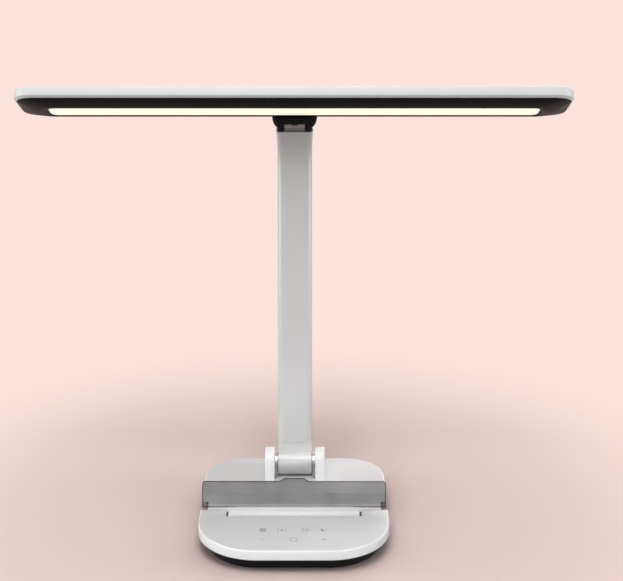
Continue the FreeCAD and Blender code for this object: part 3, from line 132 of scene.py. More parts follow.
class Nodes:
    """The node tree of one material or world."""

    def __init__(self, name: str, world: bpy.types.World | None = None) -> None:
        """Starts an empty material of that name, or empties a world's nodes.

        Args:
            name: the material's name.
            world: a world that is taken instead of a new material.
        """
        self.material = world or bpy.data.materials.new(name)
        self.material.use_nodes = True
        self.tree = self.material.node_tree
        self.tree.nodes.clear()

    def add(self, kind: str, values: dict[int | str, object] | None = None,
            settings: dict[str, object] | None = None, output: int | str = 0) -> Wire:
        """Adds a node.

        Args:
            kind: the node's type, without its prefix.
            values: numbers, colours or wires for its input sockets.
            settings: the node's own properties.
            output: the output socket that is returned.

        Returns:
            The chosen output as a Wire.
        """
        node = self.tree.nodes.new(f"ShaderNode{kind}")
        for key, value in (settings or {}).items():
            setattr(node, key, value)
        for key, value in (values or {}).items():
            if isinstance(value, Wire):
                self.tree.links.new(value.socket, node.inputs[key])
            else:
                node.inputs[key].default_value = value
        return Wire(self, node.outputs[output] if node.outputs else None)

    def place(self) -> Wire:
        """The surface's place in the frame's axes."""
        return self.add("TexCoord", output="Object")

    def noise(self, size: float, detail: float = 2.0, stretch: Colour = (1.0, 1.0, 1.0)) -> Wire:
        """Cloudy value from 0 to 1.

        Args:
            size: width of one cloud in metres.
            detail: how many finer layers it has.
            stretch: how much the pattern is drawn out along each axis.

        Returns:
            The value as a Wire.
        """
        scale = tuple(1.0 / part for part in stretch)
        mapped = self.add("Mapping", {"Vector": self.place(), "Scale": scale})
        return self.add("TexNoise", {"Vector": mapped, "Scale": 1.0 / size, "Detail": detail})

    def mix(self, share: Wire | float, first: Colour | Wire, second: Colour | Wire, blend: str = "MIX") -> Wire:
        """Blend of two colours.

        Args:
            share: 0 for the first colour and 1 for the second.
            first: the first colour.
            second: the second colour.
            blend: how the second lies over the first.

        Returns:
            The blended colour.
        """
        values = {0: share}
        for key, colour in ((6, first), (7, second)):
            values[key] = colour if isinstance(colour, Wire) else (*colour, 1.0)
        return self.add("Mix", values, {"data_type": "RGBA", "blend_type": blend}, 2)

    def bump(self, height: Wire, depth: float) -> Wire:
        """Relief from a height that rises and falls by a depth in metres."""
        return self.add("Bump", {"Height": height, "Distance": depth})

    def edge_wear(self, low: float, high: float) -> Wire:
        """Mask that is 1 on outer edges and 0 on flat places."""
        return self.add("NewGeometry", output="Pointiness").clamped(low, high)


# Finishes


@dataclass(frozen=True)
class Finish:
    """A named finish. Each kind says what its shader's inputs are."""

    name: str
    colour: Colour

    def inputs(self, nodes: Nodes) -> dict[str, object]:
        """The shader's inputs."""
        raise NotImplementedError

    def make(self) -> bpy.types.Material:
        """Builds the material.

        Returns:
            The material.
        """
        nodes = Nodes(self.name)
        shader = nodes.add("BsdfPrincipled", self.inputs(nodes))
        nodes.add("OutputMaterial", {"Surface": shader})
        return nodes.material


@dataclass(frozen=True)
class TwoTone(Finish):
    """A finish that drifts between two tones."""

    tone: Colour

    def blend(self, nodes: Nodes, share: Wire) -> Wire:
        """The two tones mixed by a share."""
        return nodes.mix(share, self.colour, self.tone)


@dataclass(frozen=True)
class MouldedPlastic(TwoTone):
    """Moulded plastic with a fine grain, slow changes of tone and slightly polished edges."""

    roughness: float = 0.4
    spread: float = 0.06
    gloss: float = 0.5
    grain: float = 0.00035
    depth: float = 0.000006

    def inputs(self, nodes: Nodes) -> dict[str, object]:
        """The shader's inputs.

        Args:
            nodes: the material's nodes.

        Returns:
            Values and wires by the inputs' names.
        """
        smear = nodes.noise(0.012, 4.0, (1.0, 1.6, 1.0))
        wear = nodes.edge_wear(0.52, 0.62)
        return {
            "Base Color": self.blend(nodes, nodes.noise(0.045, 3.0).clamped(0.3, 0.7)),
            "Roughness": self.roughness + (smear - 0.5) * self.spread - wear * (self.spread * 0.5),
            "Normal": nodes.bump(nodes.noise(self.grain), self.depth), "Specular IOR Level": self.gloss,
        }


@dataclass(frozen=True)
class SatinPaint(TwoTone):
    """Pale paint over metal, with a fine orange peel and a faint sparkle."""

    def inputs(self, nodes: Nodes) -> dict[str, object]:
        """The shader's inputs.

        Args:
            nodes: the material's nodes.

        Returns:
            Values and wires by the inputs' names.
        """
        fleck = nodes.noise(0.00025, 1.0).clamped(0.42, 0.62)
        cloud = nodes.noise(0.06, 2.0, (1.0, 1.0, 3.0)).clamped(0.3, 0.7)
        wear = nodes.edge_wear(0.53, 0.63)
        return {
            "Base Color": self.blend(nodes, cloud * 0.6 + fleck * 0.4), "Metallic": 0.04,
            "Roughness": 0.34 + (nodes.noise(0.015, 3.0) - 0.5) * 0.08 - wear * 0.04,
            "Normal": nodes.bump(nodes.noise(0.0011), 0.00001), "Coat Weight": 0.1, "Coat Roughness": 0.2,
        }


@dataclass(frozen=True)
class TonguePaint(TwoTone):
    """The arm's paint, with the head's shadow painted on the tongue of the head hinge as a darker tone, and a narrow
    slot there painted near-black as painted shade of an opening.
    """

    # Above the foot height the tongue gets a darker tone, painted shadow of the head, which fades in over a few
    # millimetres; the slot fields place a slot painted near-black, painted shade of an opening.
    foot: float = 0.338
    fade: float = 0.004
    slot_half: float = 0.0031
    slot_low: float = 0.3665
    slot_high: float = 0.3679
    slot_back: float = 0.133
    soft: float = 0.0002

    def inputs(self, nodes: Nodes) -> dict[str, object]:
        """The shader's inputs.

        Args:
            nodes: the material's nodes.

        Returns:
            Values and wires by the inputs' names.
        """
        x, y, z = (nodes.add("SeparateXYZ", {0: nodes.place()}, output=axis) for axis in range(3))
        # Mask of the slot painted near-black: painted shade of an opening.
        across = (x * x).clamped((self.slot_half + self.soft) ** 2, self.slot_half ** 2)
        up = z.clamped(self.slot_low - self.soft, self.slot_low) * z.clamped(self.slot_high + self.soft, self.slot_high)
        slot = across * up * y.clamped(self.slot_back, self.slot_back - self.soft)
        tone = nodes.mix(nodes.noise(0.02), (1.0, 1.0, 1.0), (0.93, 0.93, 0.93))
        # Darker tone above the foot height: the head's shadow painted on the tongue.
        paint = nodes.mix(1.0, self.blend(nodes, z.clamped(self.foot, self.foot + self.fade)), tone, "MULTIPLY")
        return {
            "Base Color": nodes.mix(slot, paint, (0.01, 0.01, 0.01)),
            "Roughness": 0.3 + nodes.noise(0.015, 3.0) * 0.1,
            "Normal": nodes.bump(slot * -1.0, 0.0003), "Coat Weight": 0.1, "Coat Roughness": 0.2,
        }


@dataclass(frozen=True)
class BrushedMetal(TwoTone):
    """Metal with fine lines drawn along one axis."""

    roughness: float = 0.32
    stretch: Colour = (60.0, 1.0, 1.0)

    def inputs(self, nodes: Nodes) -> dict[str, object]:
        """The shader's inputs.

        Args:
            nodes: the material's nodes.

        Returns:
            Values and wires by the inputs' names.
        """
        lines = nodes.noise(0.0004, 3.0, self.stretch)
        return {
            "Base Color": self.blend(nodes, nodes.noise(0.01, 3.0).clamped(0.3, 0.7)), "Metallic": 1.0,
            "Roughness": self.roughness + (lines - 0.5) * 0.2, "Normal": nodes.bump(lines, 0.000008),
        }


@dataclass(frozen=True)
class SmokyAcrylic(Finish):
    """Clear acrylic with a grey tint, faint handling marks and a soft haze."""

    density: float

    def inputs(self, nodes: Nodes) -> dict[str, object]:
        """The shader's inputs.

        Args:
            nodes: the material's nodes.

        Returns:
            Values and wires by the inputs' names.
        """
        haze = nodes.noise(0.02, 3.0).clamped(0.35, 0.8)
        marks = nodes.noise(0.0012, 4.0, (6.0, 1.0, 1.0)).clamped(0.55, 0.75)
        rim = nodes.add("LayerWeight", {"Blend": 0.35}, output="Facing")
        return {
            "Base Color": (*self.colour, 1.0), "Roughness": 0.06 + marks * 0.12 + haze * 0.04,
            "Alpha": self.density + haze * 0.08 + rim * 0.35, "IOR": 1.49,
            "Normal": nodes.bump(nodes.noise(0.03, 1.0), 0.00002),
        }


@dataclass(frozen=True)
class LitPanel(TwoTone):
    """Frosted panel that glows evenly, with slow changes between two tones."""

    strength: float

    def inputs(self, nodes: Nodes) -> dict[str, object]:
        """The shader's inputs.

        Args:
            nodes: the material's nodes.

        Returns:
            Values and wires by the inputs' names.
        """
        frost = nodes.noise(0.0006)
        cloud = nodes.noise(0.08, 1.0, (2.0, 1.0, 1.0)).clamped(0.2, 0.9)
        return {
            "Base Color": (0.45, 0.45, 0.34, 1.0), "Roughness": 0.5 + frost * 0.1,
            "Emission Color": self.blend(nodes, cloud), "Emission Strength": self.strength,
            "Normal": nodes.bump(frost, 0.00001),
        }


@dataclass(frozen=True)
class SoftRubber(TwoTone):
    """Dull rubber with a dusty grain."""

    def inputs(self, nodes: Nodes) -> dict[str, object]:
        """The shader's inputs.

        Args:
            nodes: the material's nodes.

        Returns:
            Values and wires by the inputs' names.
        """
        dust = nodes.noise(0.006, 5.0).clamped(0.45, 0.8)
        return {
            "Base Color": self.blend(nodes, dust * 0.5), "Roughness": 0.75 + dust * 0.15,
            "Normal": nodes.bump(nodes.noise(0.0007, 3.0), 0.00004),
        }


@dataclass(frozen=True)
class CircuitBoard(TwoTone):
    """Lacquered board with faint tracks and lands."""

    def inputs(self, nodes: Nodes) -> dict[str, object]:
        """The shader's inputs.

        Args:
            nodes: the material's nodes.

        Returns:
            Values and wires by the inputs' names.
        """
        values = {"Vector": nodes.place(), "Scale": 260.0}
        mask = nodes.add("TexVoronoi", values, {"distance": "CHEBYCHEV"}).clamped(0.42, 0.5)
        return {
            "Base Color": self.blend(nodes, mask), "Roughness": 0.35 + mask * 0.15,
            "Normal": nodes.bump(mask, 0.00003),
        }


# Modelling bench


def middle_and_way(part: bmesh.types.BMVert | bmesh.types.BMEdge | bmesh.types.BMFace) -> tuple[Vector, Vector]:
    """Middle of a part of a mesh, with its normal or, for an edge, its direction.

    Args:
        part: a vertex, an edge or a face.

    Returns:
        Its middle, and its normal or direction.
    """
    if isinstance(part, bmesh.types.BMVert):
        return part.co, part.normal
    if isinstance(part, bmesh.types.BMFace):
        return part.calc_center_median(), part.normal
    first, second = (vertex.co for vertex in part.verts)
    return (first + second) / 2, (second - first).normalized()


class Bench:
    """One piece being modelled with Blender's own tools, from a primitive to a finished mesh."""

    def __init__(self, name: str, made: bpy.types.Object | None = None) -> None:
        """Starts a piece, or takes over an object that is already made.

        Args:
            name: the piece's name.
            made: the object, if there is one.
        """
        self.name = name
        self.object = made
        if made:
            made.name = made.data.name = name

    def hold(self, *others: "Bench") -> "Bench":
        """Selects this piece alone, or with others, and makes it the active one.

        Args:
            others: pieces that are selected with it.

        Returns:
            This piece.
        """
        bpy.ops.object.select_all(action="DESELECT")
        for piece in (*others, self):
            piece.object.select_set(True)
        bpy.context.view_layer.objects.active = self.object
        return self

    def make(self, operator: Operator, **settings: object) -> "Bench":
        """Adds a primitive and moves its place into its mesh.

        Args:
            operator: the operator that adds the primitive.
            settings: its settings.

        Returns:
            This piece.
        """
        bpy.ops.object.select_all(action="DESELECT")
        operator(**settings)
        self.object = bpy.context.active_object
        self.object.name = self.object.data.name = self.name
        bpy.ops.object.transform_apply(location=True, rotation=True, scale=True)
        return self

    def block(self, low: Point, high: Point) -> "Bench":
        """Adds a cuboid between two corners."""
        low, high = Vector(low), Vector(high)
        return self.make(MESH.primitive_cube_add, size=1.0, location=(low + high) / 2, scale=high - low)

    def sheet(self, centre: Point, size: tuple[float, float]) -> "Bench":
        """Adds a flat rectangle that faces up, from its middle, its width and its depth."""
        return self.make(MESH.primitive_plane_add, size=1.0, location=centre).pick().grow((*size, 1.0), centre)

    def drum(self, centre: Point, axis: Axis, radius: float, length: float, sides: int = 64) -> "Bench":
        """Adds a closed cylinder that lies along an axis, with a number of faces round it.

        Args:
            centre: its middle.
            axis: the axis that it lies along.
            radius: its radius.
            length: its length.
            sides: the number of faces round it.

        Returns:
            This piece.
        """
        turn = Axis.Z.value.rotation_difference(axis.value).to_euler()
        return self.make(
            MESH.primitive_cylinder_add, vertices=sides, radius=radius, depth=length, location=Vector(centre),
            rotation=turn,
        )

    def profile(self, points: list[tuple[float, float]], half: float) -> "Bench":
        """Adds a prism along X.

        Args:
            points: its outline in the side view, as Y and Z pairs.
            half: half its length.

        Returns:
            This piece.
        """
        self.make(MESH.primitive_circle_add, vertices=len(points), radius=1.0, fill_type="NGON").pick()
        for vertex, (y, z) in zip(bmesh.from_edit_mesh(self.object.data).verts, points):
            vertex.co = Vector((-half, y, z))
        bmesh.update_edit_mesh(self.object.data)
        return self.extrude(2 * half, Axis.X).outward()

    def pick(self, test: Test | None = None, kind: str = "FACE") -> "Bench":
        """Opens the piece and selects what passes a test, or everything.

        Args:
            test: takes a part's middle, and its normal or an edge's direction.
            kind: VERT, EDGE or FACE.

        Returns:
            This piece.
        """
        self.hold()
        bpy.ops.object.mode_set(mode="EDIT")
        MESH.select_mode(type=kind)
        MESH.select_all(action="DESELECT" if test else "SELECT")
        mesh = bmesh.from_edit_mesh(self.object.data)
        for part in {"VERT": mesh.verts, "EDGE": mesh.edges, "FACE": mesh.faces}[kind] if test else ():
            if test(*middle_and_way(part)):
                part.select_set(True)
        bmesh.update_edit_mesh(self.object.data)
        return self

    def pick_ends(self, axis: Axis, side: float) -> "Bench":
        """Selects the faces that look along an axis, on its side 1 or -1."""
        return self.pick(lambda place, way: way.dot(axis.value) * side > FACING)

    def pick_rim(self, axis: Axis, height: float) -> "Bench":
        """Selects the edges that lie at a height along an axis."""
        return self.pick(lambda place, way: near(place.dot(axis.value), height), "EDGE")

    def edit(self, operator: Operator, **settings: object) -> "Bench":
        """Runs an operator on what is selected and closes the piece.

        Args:
            operator: the operator.
            settings: its settings.

        Returns:
            This piece.
        """
        operator(**settings)
        bpy.ops.object.mode_set(mode="OBJECT")
        return self

    def bevel(self, width: float, steps: int, affect: str = "EDGES") -> "Bench":
        """Rounds the selected edges, or the selected vertices.

        Args:
            width: width of the round.
            steps: faces across it.
            affect: EDGES or VERTICES.

        Returns:
            This piece.
        """
        return self.edit(
            MESH.bevel, offset=width, offset_type="OFFSET", segments=steps, profile=0.5, clamp_overlap=False,
            affect=affect,
        )

    def round_plan(self, radius: float, steps: int, test: Test | None = None) -> "Bench":
        """Rounds the corners of a flat plan, or those that pass a test."""
        return self.pick(test, "VERT").bevel(radius, steps, "VERTICES")

    def inset(self, width: float, depth: float = 0.0) -> "Bench":
        """Draws the selected faces in, and pushes them out along their normal by a depth."""
        return self.edit(MESH.inset, thickness=width, depth=depth, use_even_offset=True)

    def extrude(self, length: float, axis: Axis = Axis.Z) -> "Bench":
        """Extrudes the selected faces along an axis."""
        return self.edit(MESH.extrude_region_move, TRANSFORM_OT_translate={"value": axis.value * length})

    def grow(self, value: Point, centre: Point) -> "Bench":
        """Scales what is selected about a point."""
        return self.edit(bpy.ops.transform.resize, value=Vector(value), center_override=Vector(centre))

    def spin(self, angle: float, steps: int, centre: Point, axis: Axis) -> "Bench":
        """Sweeps what is selected round an axis, right-handed.

        Args:
            angle: radians that it turns by.
            steps: faces along the turn.
            centre: a point on the axis.
            axis: the direction of the axis.

        Returns:
            This piece.
        """
        return self.edit(
            MESH.spin, steps=steps, angle=-angle, center=Vector(centre), axis=axis.value, use_auto_merge=False,
            use_normal_flip=False,
        )

    def slice(self, point: Point, axis: Axis) -> "Bench":
        """Cuts edges along a plane through the whole piece."""
        return self.pick().edit(MESH.bisect, plane_co=Vector(point), plane_no=axis.value)

    def outward(self) -> "Bench":
        """Merges doubles and turns every face outwards.

        Returns:
            This piece.
        """
        self.pick()
        MESH.remove_doubles(threshold=0.000002)
        return self.edit(MESH.normals_make_consistent, inside=False)

    def modify(self, kind: str, **settings: object) -> "Bench":
        """Adds a modifier of a type with its properties and applies it at once.

        Args:
            kind: the modifier's type.
            settings: its properties.

        Returns:
            This piece.
        """
        modifier = self.hold().object.modifiers.new(kind.title(), kind)
        for key, value in settings.items():
            setattr(modifier, key, value)
        bpy.ops.object.modifier_apply(modifier=modifier.name)
        return self

    def combine(self, joining: Joining, *tools: "Bench") -> "Bench":
        """Adds, cuts away or keeps what other shapes take up, and removes the shapes.

        Args:
            joining: how the shapes change this one.
            tools: the shapes.

        Returns:
            This piece.
        """
        for tool in tools:
            self.modify("BOOLEAN", operation=joining.value, solver="EXACT", object=tool.object)
            bpy.data.objects.remove(tool.object)
        return self

    def cut(self, *tools: "Bench") -> "Bench":
        """Cuts other shapes away."""
        return self.combine(Joining.CUT, *tools)

    def wall(self, thickness: float) -> "Bench":
        """Gives an open skin a wall on its inner side."""
        return self.modify("SOLIDIFY", thickness=thickness, offset=-1.0, use_even_offset=True)

    def join(self, *others: "Bench") -> "Bench":
        """Joins other pieces into this one as they are.

        Args:
            others: the pieces.

        Returns:
            This piece.
        """
        if others:
            self.hold(*others)
            bpy.ops.object.join()
        return self

    def place(self, turn: Euler, move: Point) -> "Bench":
        """Turns the piece about the origin, moves it and writes its place into its mesh.

        Args:
            turn: how it is turned.
            move: how far it is moved.

        Returns:
            This piece.
        """
        self.hold().object.rotation_euler = turn
        self.object.location = Vector(move)
        bpy.ops.object.transform_apply(location=True, rotation=True, scale=True)
        return self

    def copy(self, name: str) -> "Bench":
        """A second piece with its own mesh.

        Args:
            name: the copy's name.

        Returns:
            The copy.
        """
        twin = self.object.copy()
        twin.data = self.object.data.copy()
        bpy.context.scene.collection.objects.link(twin)
        return Bench(name, twin)

    def soften(self, width: float, steps: int, sharp: float, angle: float) -> "Bench":
        """Breaks the sharp edges as a mould or a file does, and shades the rest smooth.

        Args:
            width: width of the small rounds.
            steps: faces across a round.
            sharp: degrees from which an edge is rounded.
            angle: degrees up to which the shading is smooth.

        Returns:
            This piece.
        """
        return self.outward().modify(
            "BEVEL", width=width, segments=steps, limit_method="ANGLE", angle_limit=math.radians(sharp),
            harden_normals=False, use_clamp_overlap=True,
        ).smooth(angle)

    def smooth(self, angle: float = 35.0) -> "Bench":
        """Shades the piece smooth apart from its sharp edges.

        Args:
            angle: degrees up to which the shading is smooth.

        Returns:
            This piece.
        """
        self.hold()
        bpy.ops.object.shade_smooth_by_angle(angle=math.radians(angle))
        return self

    def paint(self, material: bpy.types.Material, test: Test) -> "Bench":
        """Gives the faces that pass a test a further material.

        Args:
            material: the further material.
            test: takes a face's middle and normal.

        Returns:
            This piece.
        """
        mesh = self.object.data
        mesh.materials.append(material)
        for face in mesh.polygons:
            if test(face.center, face.normal):
                face.material_index = len(mesh.materials) - 1
        return self


def both_sides(make: Callable[[float], Bench]) -> list[Bench]:
    """Makes a shape on the left and on the right."""
    return [make(-1.0), make(1.0)]


def near(first: float, second: float, reach: float = 0.00005) -> bool:
    """Whether two lengths are the same within a small reach."""
    return abs(first - second) < reach


# Sub-assemblies


def pivot(joint: str) -> Vector:
    """Place of a joint's axis at rest."""
    return next(Vector(item["pos_m"]) for item in frame["joints"] if item["name"] == joint)


@dataclass
class Assembly:
    """A sub-assembly whose pieces ride on one body and may lean about that body's axis."""

    finishes: dict[str, bpy.types.Material]
    body: ClassVar[str] = "root"
    axis: ClassVar[Vector] = Vector()
    lean: ClassVar[float] = 0.0

    def stand(self, piece: Bench) -> Bench:
        """Leans a piece that was made upright at the origin and moves it to the body's axis."""
        return piece.place(Euler((-self.lean, 0.0, 0.0)), self.axis)

    def done(self, piece: Bench, slot: str, *nodes: str, finish: str | None = None) -> Bench:
        """Dresses a finished piece and ties it to the frame.

        Args:
            piece: the finished piece.
            slot: the record's material slot, which also names its finish.
            nodes: the frame's nodes that it stands for.
            finish: the name of another finish.

        Returns:
            The piece.
        """
        piece.object.data.materials.clear()
        piece.object.data.materials.append(self.finishes[finish or slot])
        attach(piece.object, self.body)
        if nodes:
            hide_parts(*nodes)
        LOG.info("%s rides on %s", piece.name, self.body)
        return piece

    def screws(self, name: str, radius: float, height: float, places: dict[Point, tuple[str, ...]]) -> None:
        """Screws that face +Y on the upright piece, with a rounded rim and a cross recess.

        Args:
            name: their name, to which a number is added.
            radius: radius of a head.
            height: height of a head.
            places: where they sit, each with the frame's nodes that the screw stands for.
        """
        arm, half, floor = radius * 0.62, radius * 0.13, height * 0.45
        screw = Bench(name).drum((0.0, height / 2, 0.0), Axis.Y, radius, height, 32)
        screw.pick_rim(Axis.Y, height).bevel(height * 0.3, 3)
        for wide, tall in ((arm, half), (half, arm)):
            screw.cut(Bench("slot").block((-wide, floor, -tall), (wide, height + radius, tall)))
        screw.smooth()
        for number, (place, nodes) in enumerate(places.items(), 1):
            piece = screw.copy(f"{name}_{number}").place(Euler(), place)
            self.done(self.stand(piece), "steel", *nodes)
        bpy.data.objects.remove(screw.object)

    def build(self) -> None:
        """Makes the pieces, in the order in which the class lists them."""
        for name, make in vars(type(self)).items():
            if name.startswith("make_"):
                make(self)
        LOG.info("%s done", type(self).__name__)


# Base


@dataclass
class Base(Assembly):
    """Weighted base: black tapered tub, white cover with its trough and the cheeks of the arm hinge."""

    arm: ClassVar[Vector] = pivot("arm_tilt")
    half_width: float = 0.09
    half_depth: float = 0.1
    front_round: float = 0.0574
    rear_round: float = 0.04
    sole_top: float = 0.0015
    skirt_top: float = 0.0133
    cover_top: float = 0.0228
    skirt_taper: float = 0.0087
    skirt_lip: float = 0.0015
    wall: float = 0.0024
    rim_round: float = 0.0016
    overlap: float = 0.0004
    rib_share: float = 0.9
    trough_half: float = 0.018
    trough_floor: float = 0.0105
    trough_wall: float = 0.0022
    trough_end: float = 0.005
    pocket_radius: float = 0.0083
    pocket_half: float = 0.0645
    cheek_in: float = 0.0204
    cheek_out: float = 0.0299
    cheek_radius: float = 0.0155
    cheek_foot: float = 0.023
    cap_radius: float = 0.009
    cap_depth: float = 0.0012
    cap_rim: float = 0.0008
    cap_dish: float = 0.0003
    cap_slope: float = 0.0006
    ear_in: float = 0.0176
    ear_foot: float = 0.0133
    relief_radius: float = 0.0128
    inlet_rim: float = 0.0006
    inlet_bore: float = 0.0032
    inlet_pin: float = 0.001
    inlet_pin_sink: float = 0.0008
    far: float = 0.12

    def outline(self, name: str, inset: float, height: float) -> Bench:
        """Flat plan of the base, drawn in by an inset.

        Args:
            name: the plan's name.
            inset: how far it is drawn in.
            height: its height.

        Returns:
            The plan.
        """
        half = self.half_depth - inset
        plan = Bench(name).sheet((0.0, 0.0, height), (2 * (self.half_width - inset), 2 * half))
        plan.round_plan(self.front_round - inset, 24, lambda place, way: place.y < 0.0)
        return plan.round_plan(self.rear_round - inset, 18, lambda place, way: near(place.y, half))

    def prism(self, name: str, inset: float, low: float, high: float) -> Bench:
        """Solid of the base's plan between two heights."""
        return self.outline(name, inset, low).pick().extrude(high - low).outward()

    def make_cover(self) -> None:
        """White cover with the trough, the holder's pocket and the cheeks of the arm hinge."""
        top, lap = self.cover_top, self.overlap
        cover = self.prism("base_cover", 0.0, self.skirt_top, top)
        cover.pick_rim(Axis.Z, top).bevel(self.rim_round, 5)
        ceiling = top - self.wall
        cover.cut(self.prism("hollow", self.wall, self.skirt_top - PAST, ceiling))
        deep = self.trough_floor - self.trough_wall
        outer = self.trough_half + self.trough_wall
        half, across = self.half_width - self.trough_end, self.half_width - self.wall * self.rib_share
        _, holder_y, holder_z = pivot("page_holder_fold")
        _, arm_y, arm_z = self.arm
        reach, seat_in = self.pocket_half + self.trough_wall, self.cheek_in + self.wall
        front, seat_half = holder_y - self.pocket_radius - self.trough_wall, self.relief_radius + self.wall
        cover.combine(
            Joining.ADD,
            Bench("channel").block((-half, -outer, deep), (half, outer, self.skirt_top + LAP)),
            *(Bench("rib").block((-across, y, self.skirt_top - lap), (across, y + self.trough_wall, ceiling + lap))
              for y in (-outer, self.trough_half)),
            Bench("pocket").block((-reach, front, deep), (reach, LAP - outer, ceiling + lap)),
            Bench("seat").block((-seat_in, arm_y - seat_half, ceiling - self.wall),
                                (seat_in, arm_y + seat_half, ceiling + lap)),
            *both_sides(self.cheek),
        )
        trough, pocket, far = self.trough_half, self.pocket_half, self.far
        cover.cut(
            Bench("trough").block((-far, -trough, self.trough_floor), (far, trough, far)),
            Bench("drum").drum((0.0, holder_y, holder_z), Axis.X, self.pocket_radius, 2 * pocket, 72),
            Bench("mouth").block((-pocket, holder_y, holder_z - self.pocket_radius), (pocket, PAST - trough, far)),
            Bench("relief").drum((0.0, arm_y, arm_z), Axis.X, self.relief_radius, 2 * self.cheek_in, 72),
            *both_sides(lambda side: Bench("slot").block(
                (min(side * self.ear_in, side * self.cheek_in), arm_y - self.ear_foot, 0.0),
                (max(side * self.ear_in, side * self.cheek_in), arm_y + self.ear_foot, top + PAST))),
            *both_sides(lambda side: Bench("seat").drum(
                (side * self.cheek_out, arm_y, arm_z), Axis.X, self.cap_radius + 2 * PLAY, 2 * self.cap_depth)),
        )
        cover.soften(0.00035, 2, 50.0, 32.0)
        self.done(cover, "white_cover", "base_top_cover")
        # The cover's top faces get a greyer copy of the white: painted shade, since less light falls on the top than on
        # the walls.
        cover.paint(self.finishes["cover_top"], lambda place, way: way.z > FACING and near(place.z, top, 0.0002))

    def cheek(self, side: float) -> Bench:
        """One cheek of the arm hinge: a round top on a foot that widens downwards.

        Args:
            side: -1 for the left one and 1 for the right one.

        Returns:
            The cheek.
        """
        _, arm_y, arm_z = self.arm
        half = (self.cheek_out - self.cheek_in) / 2
        middle = side * (self.cheek_in + half)
        low = self.cover_top - self.wall
        reach = math.hypot(self.cheek_foot, arm_z - low)
        angle = math.acos(self.cheek_radius / reach) - math.atan2(arm_z - low, self.cheek_foot)
        shoulder = arm_z + self.cheek_radius * math.sin(angle)
        foot = Bench("foot").block((middle - half, arm_y - self.cheek_foot, low),
                                   (middle + half, arm_y + self.cheek_foot, shoulder))
        share = self.cheek_radius * math.cos(angle) / self.cheek_foot
        foot.pick_ends(Axis.Z, 1.0).grow((1.0, share, 1.0), (middle, arm_y, shoulder))
        crown = Bench("crown").drum((middle, arm_y, arm_z), Axis.X, self.cheek_radius, 2 * half, 96)
        return foot.combine(Joining.ADD, crown)

    def make_caps(self) -> None:
        """Slightly dished caps on the outside of the cheeks."""
        _, arm_y, arm_z = self.arm
        for side, name, nodes in ((-1.0, "left", ()), (1.0, "right", ("arm_hinge_caps",))):
            middle, outer = side * (self.cheek_out - self.cap_depth / 2), side * self.cheek_out
            cap = Bench(f"hinge_cap_{name}").drum((middle, arm_y, arm_z), Axis.X, self.cap_radius, self.cap_depth)
            cap.pick(lambda place, way: near(place.x, outer)).inset(self.cap_rim)
            cap.pick(lambda place, way: near(place.x, outer) and near(place.y, arm_y, 0.0005))
            cap.inset(self.cap_slope, -self.cap_dish).soften(0.00015, 2, 40.0, 35.0)
            self.done(cap, "hinge_cap", *nodes)

    def make_tub(self) -> None:
        """Black tapered underside."""
        tub = self.outline("base_skirt", self.skirt_lip, self.skirt_top)
        tub.pick().edit(MESH.flip_normals).pick()
        tub.inset(self.skirt_taper - self.skirt_lip, self.skirt_top - self.sole_top).wall(self.wall)
        outer, far, deep = self.trough_half + self.trough_wall, self.far, self.trough_floor - self.trough_wall
        low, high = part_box("power_inlet")
        play = Vector((2 * PLAY, 0.02, 2 * PLAY))
        tub.cut(
            Bench("gap").block((-far, -outer, deep), (far, outer, far)),
            Bench("port").block(low - play, high + play),
        )
        tub.soften(0.0005, 2, 50.0, 35.0)
        self.done(tub, "black_shell", "base_tub")

    def make_inlet(self) -> None:
        """Power socket with its bore and centre pin."""
        low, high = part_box("power_inlet")
        x, _, z = (low + high) / 2
        socket = Bench("inlet_body").block(low, high)
        socket.pick_ends(Axis.Y, 1.0).inset(self.inlet_rim)
        socket.cut(Bench("bore").drum((x, high.y, z), Axis.Y, self.inlet_bore, 0.02, 48)).soften(0.0003, 3, 40.0, 35.0)
        self.done(socket, "inlet", "power_inlet")
        tip, length = high.y - self.inlet_pin_sink, 0.01
        pin = Bench("inlet_pin").drum((x, tip - length / 2, z), Axis.Y, self.inlet_pin, length, 24)
        pin.pick_rim(Axis.Y, tip).bevel(self.inlet_pin / 2, 4)
        self.done(pin.smooth(), "steel")


# Key icons


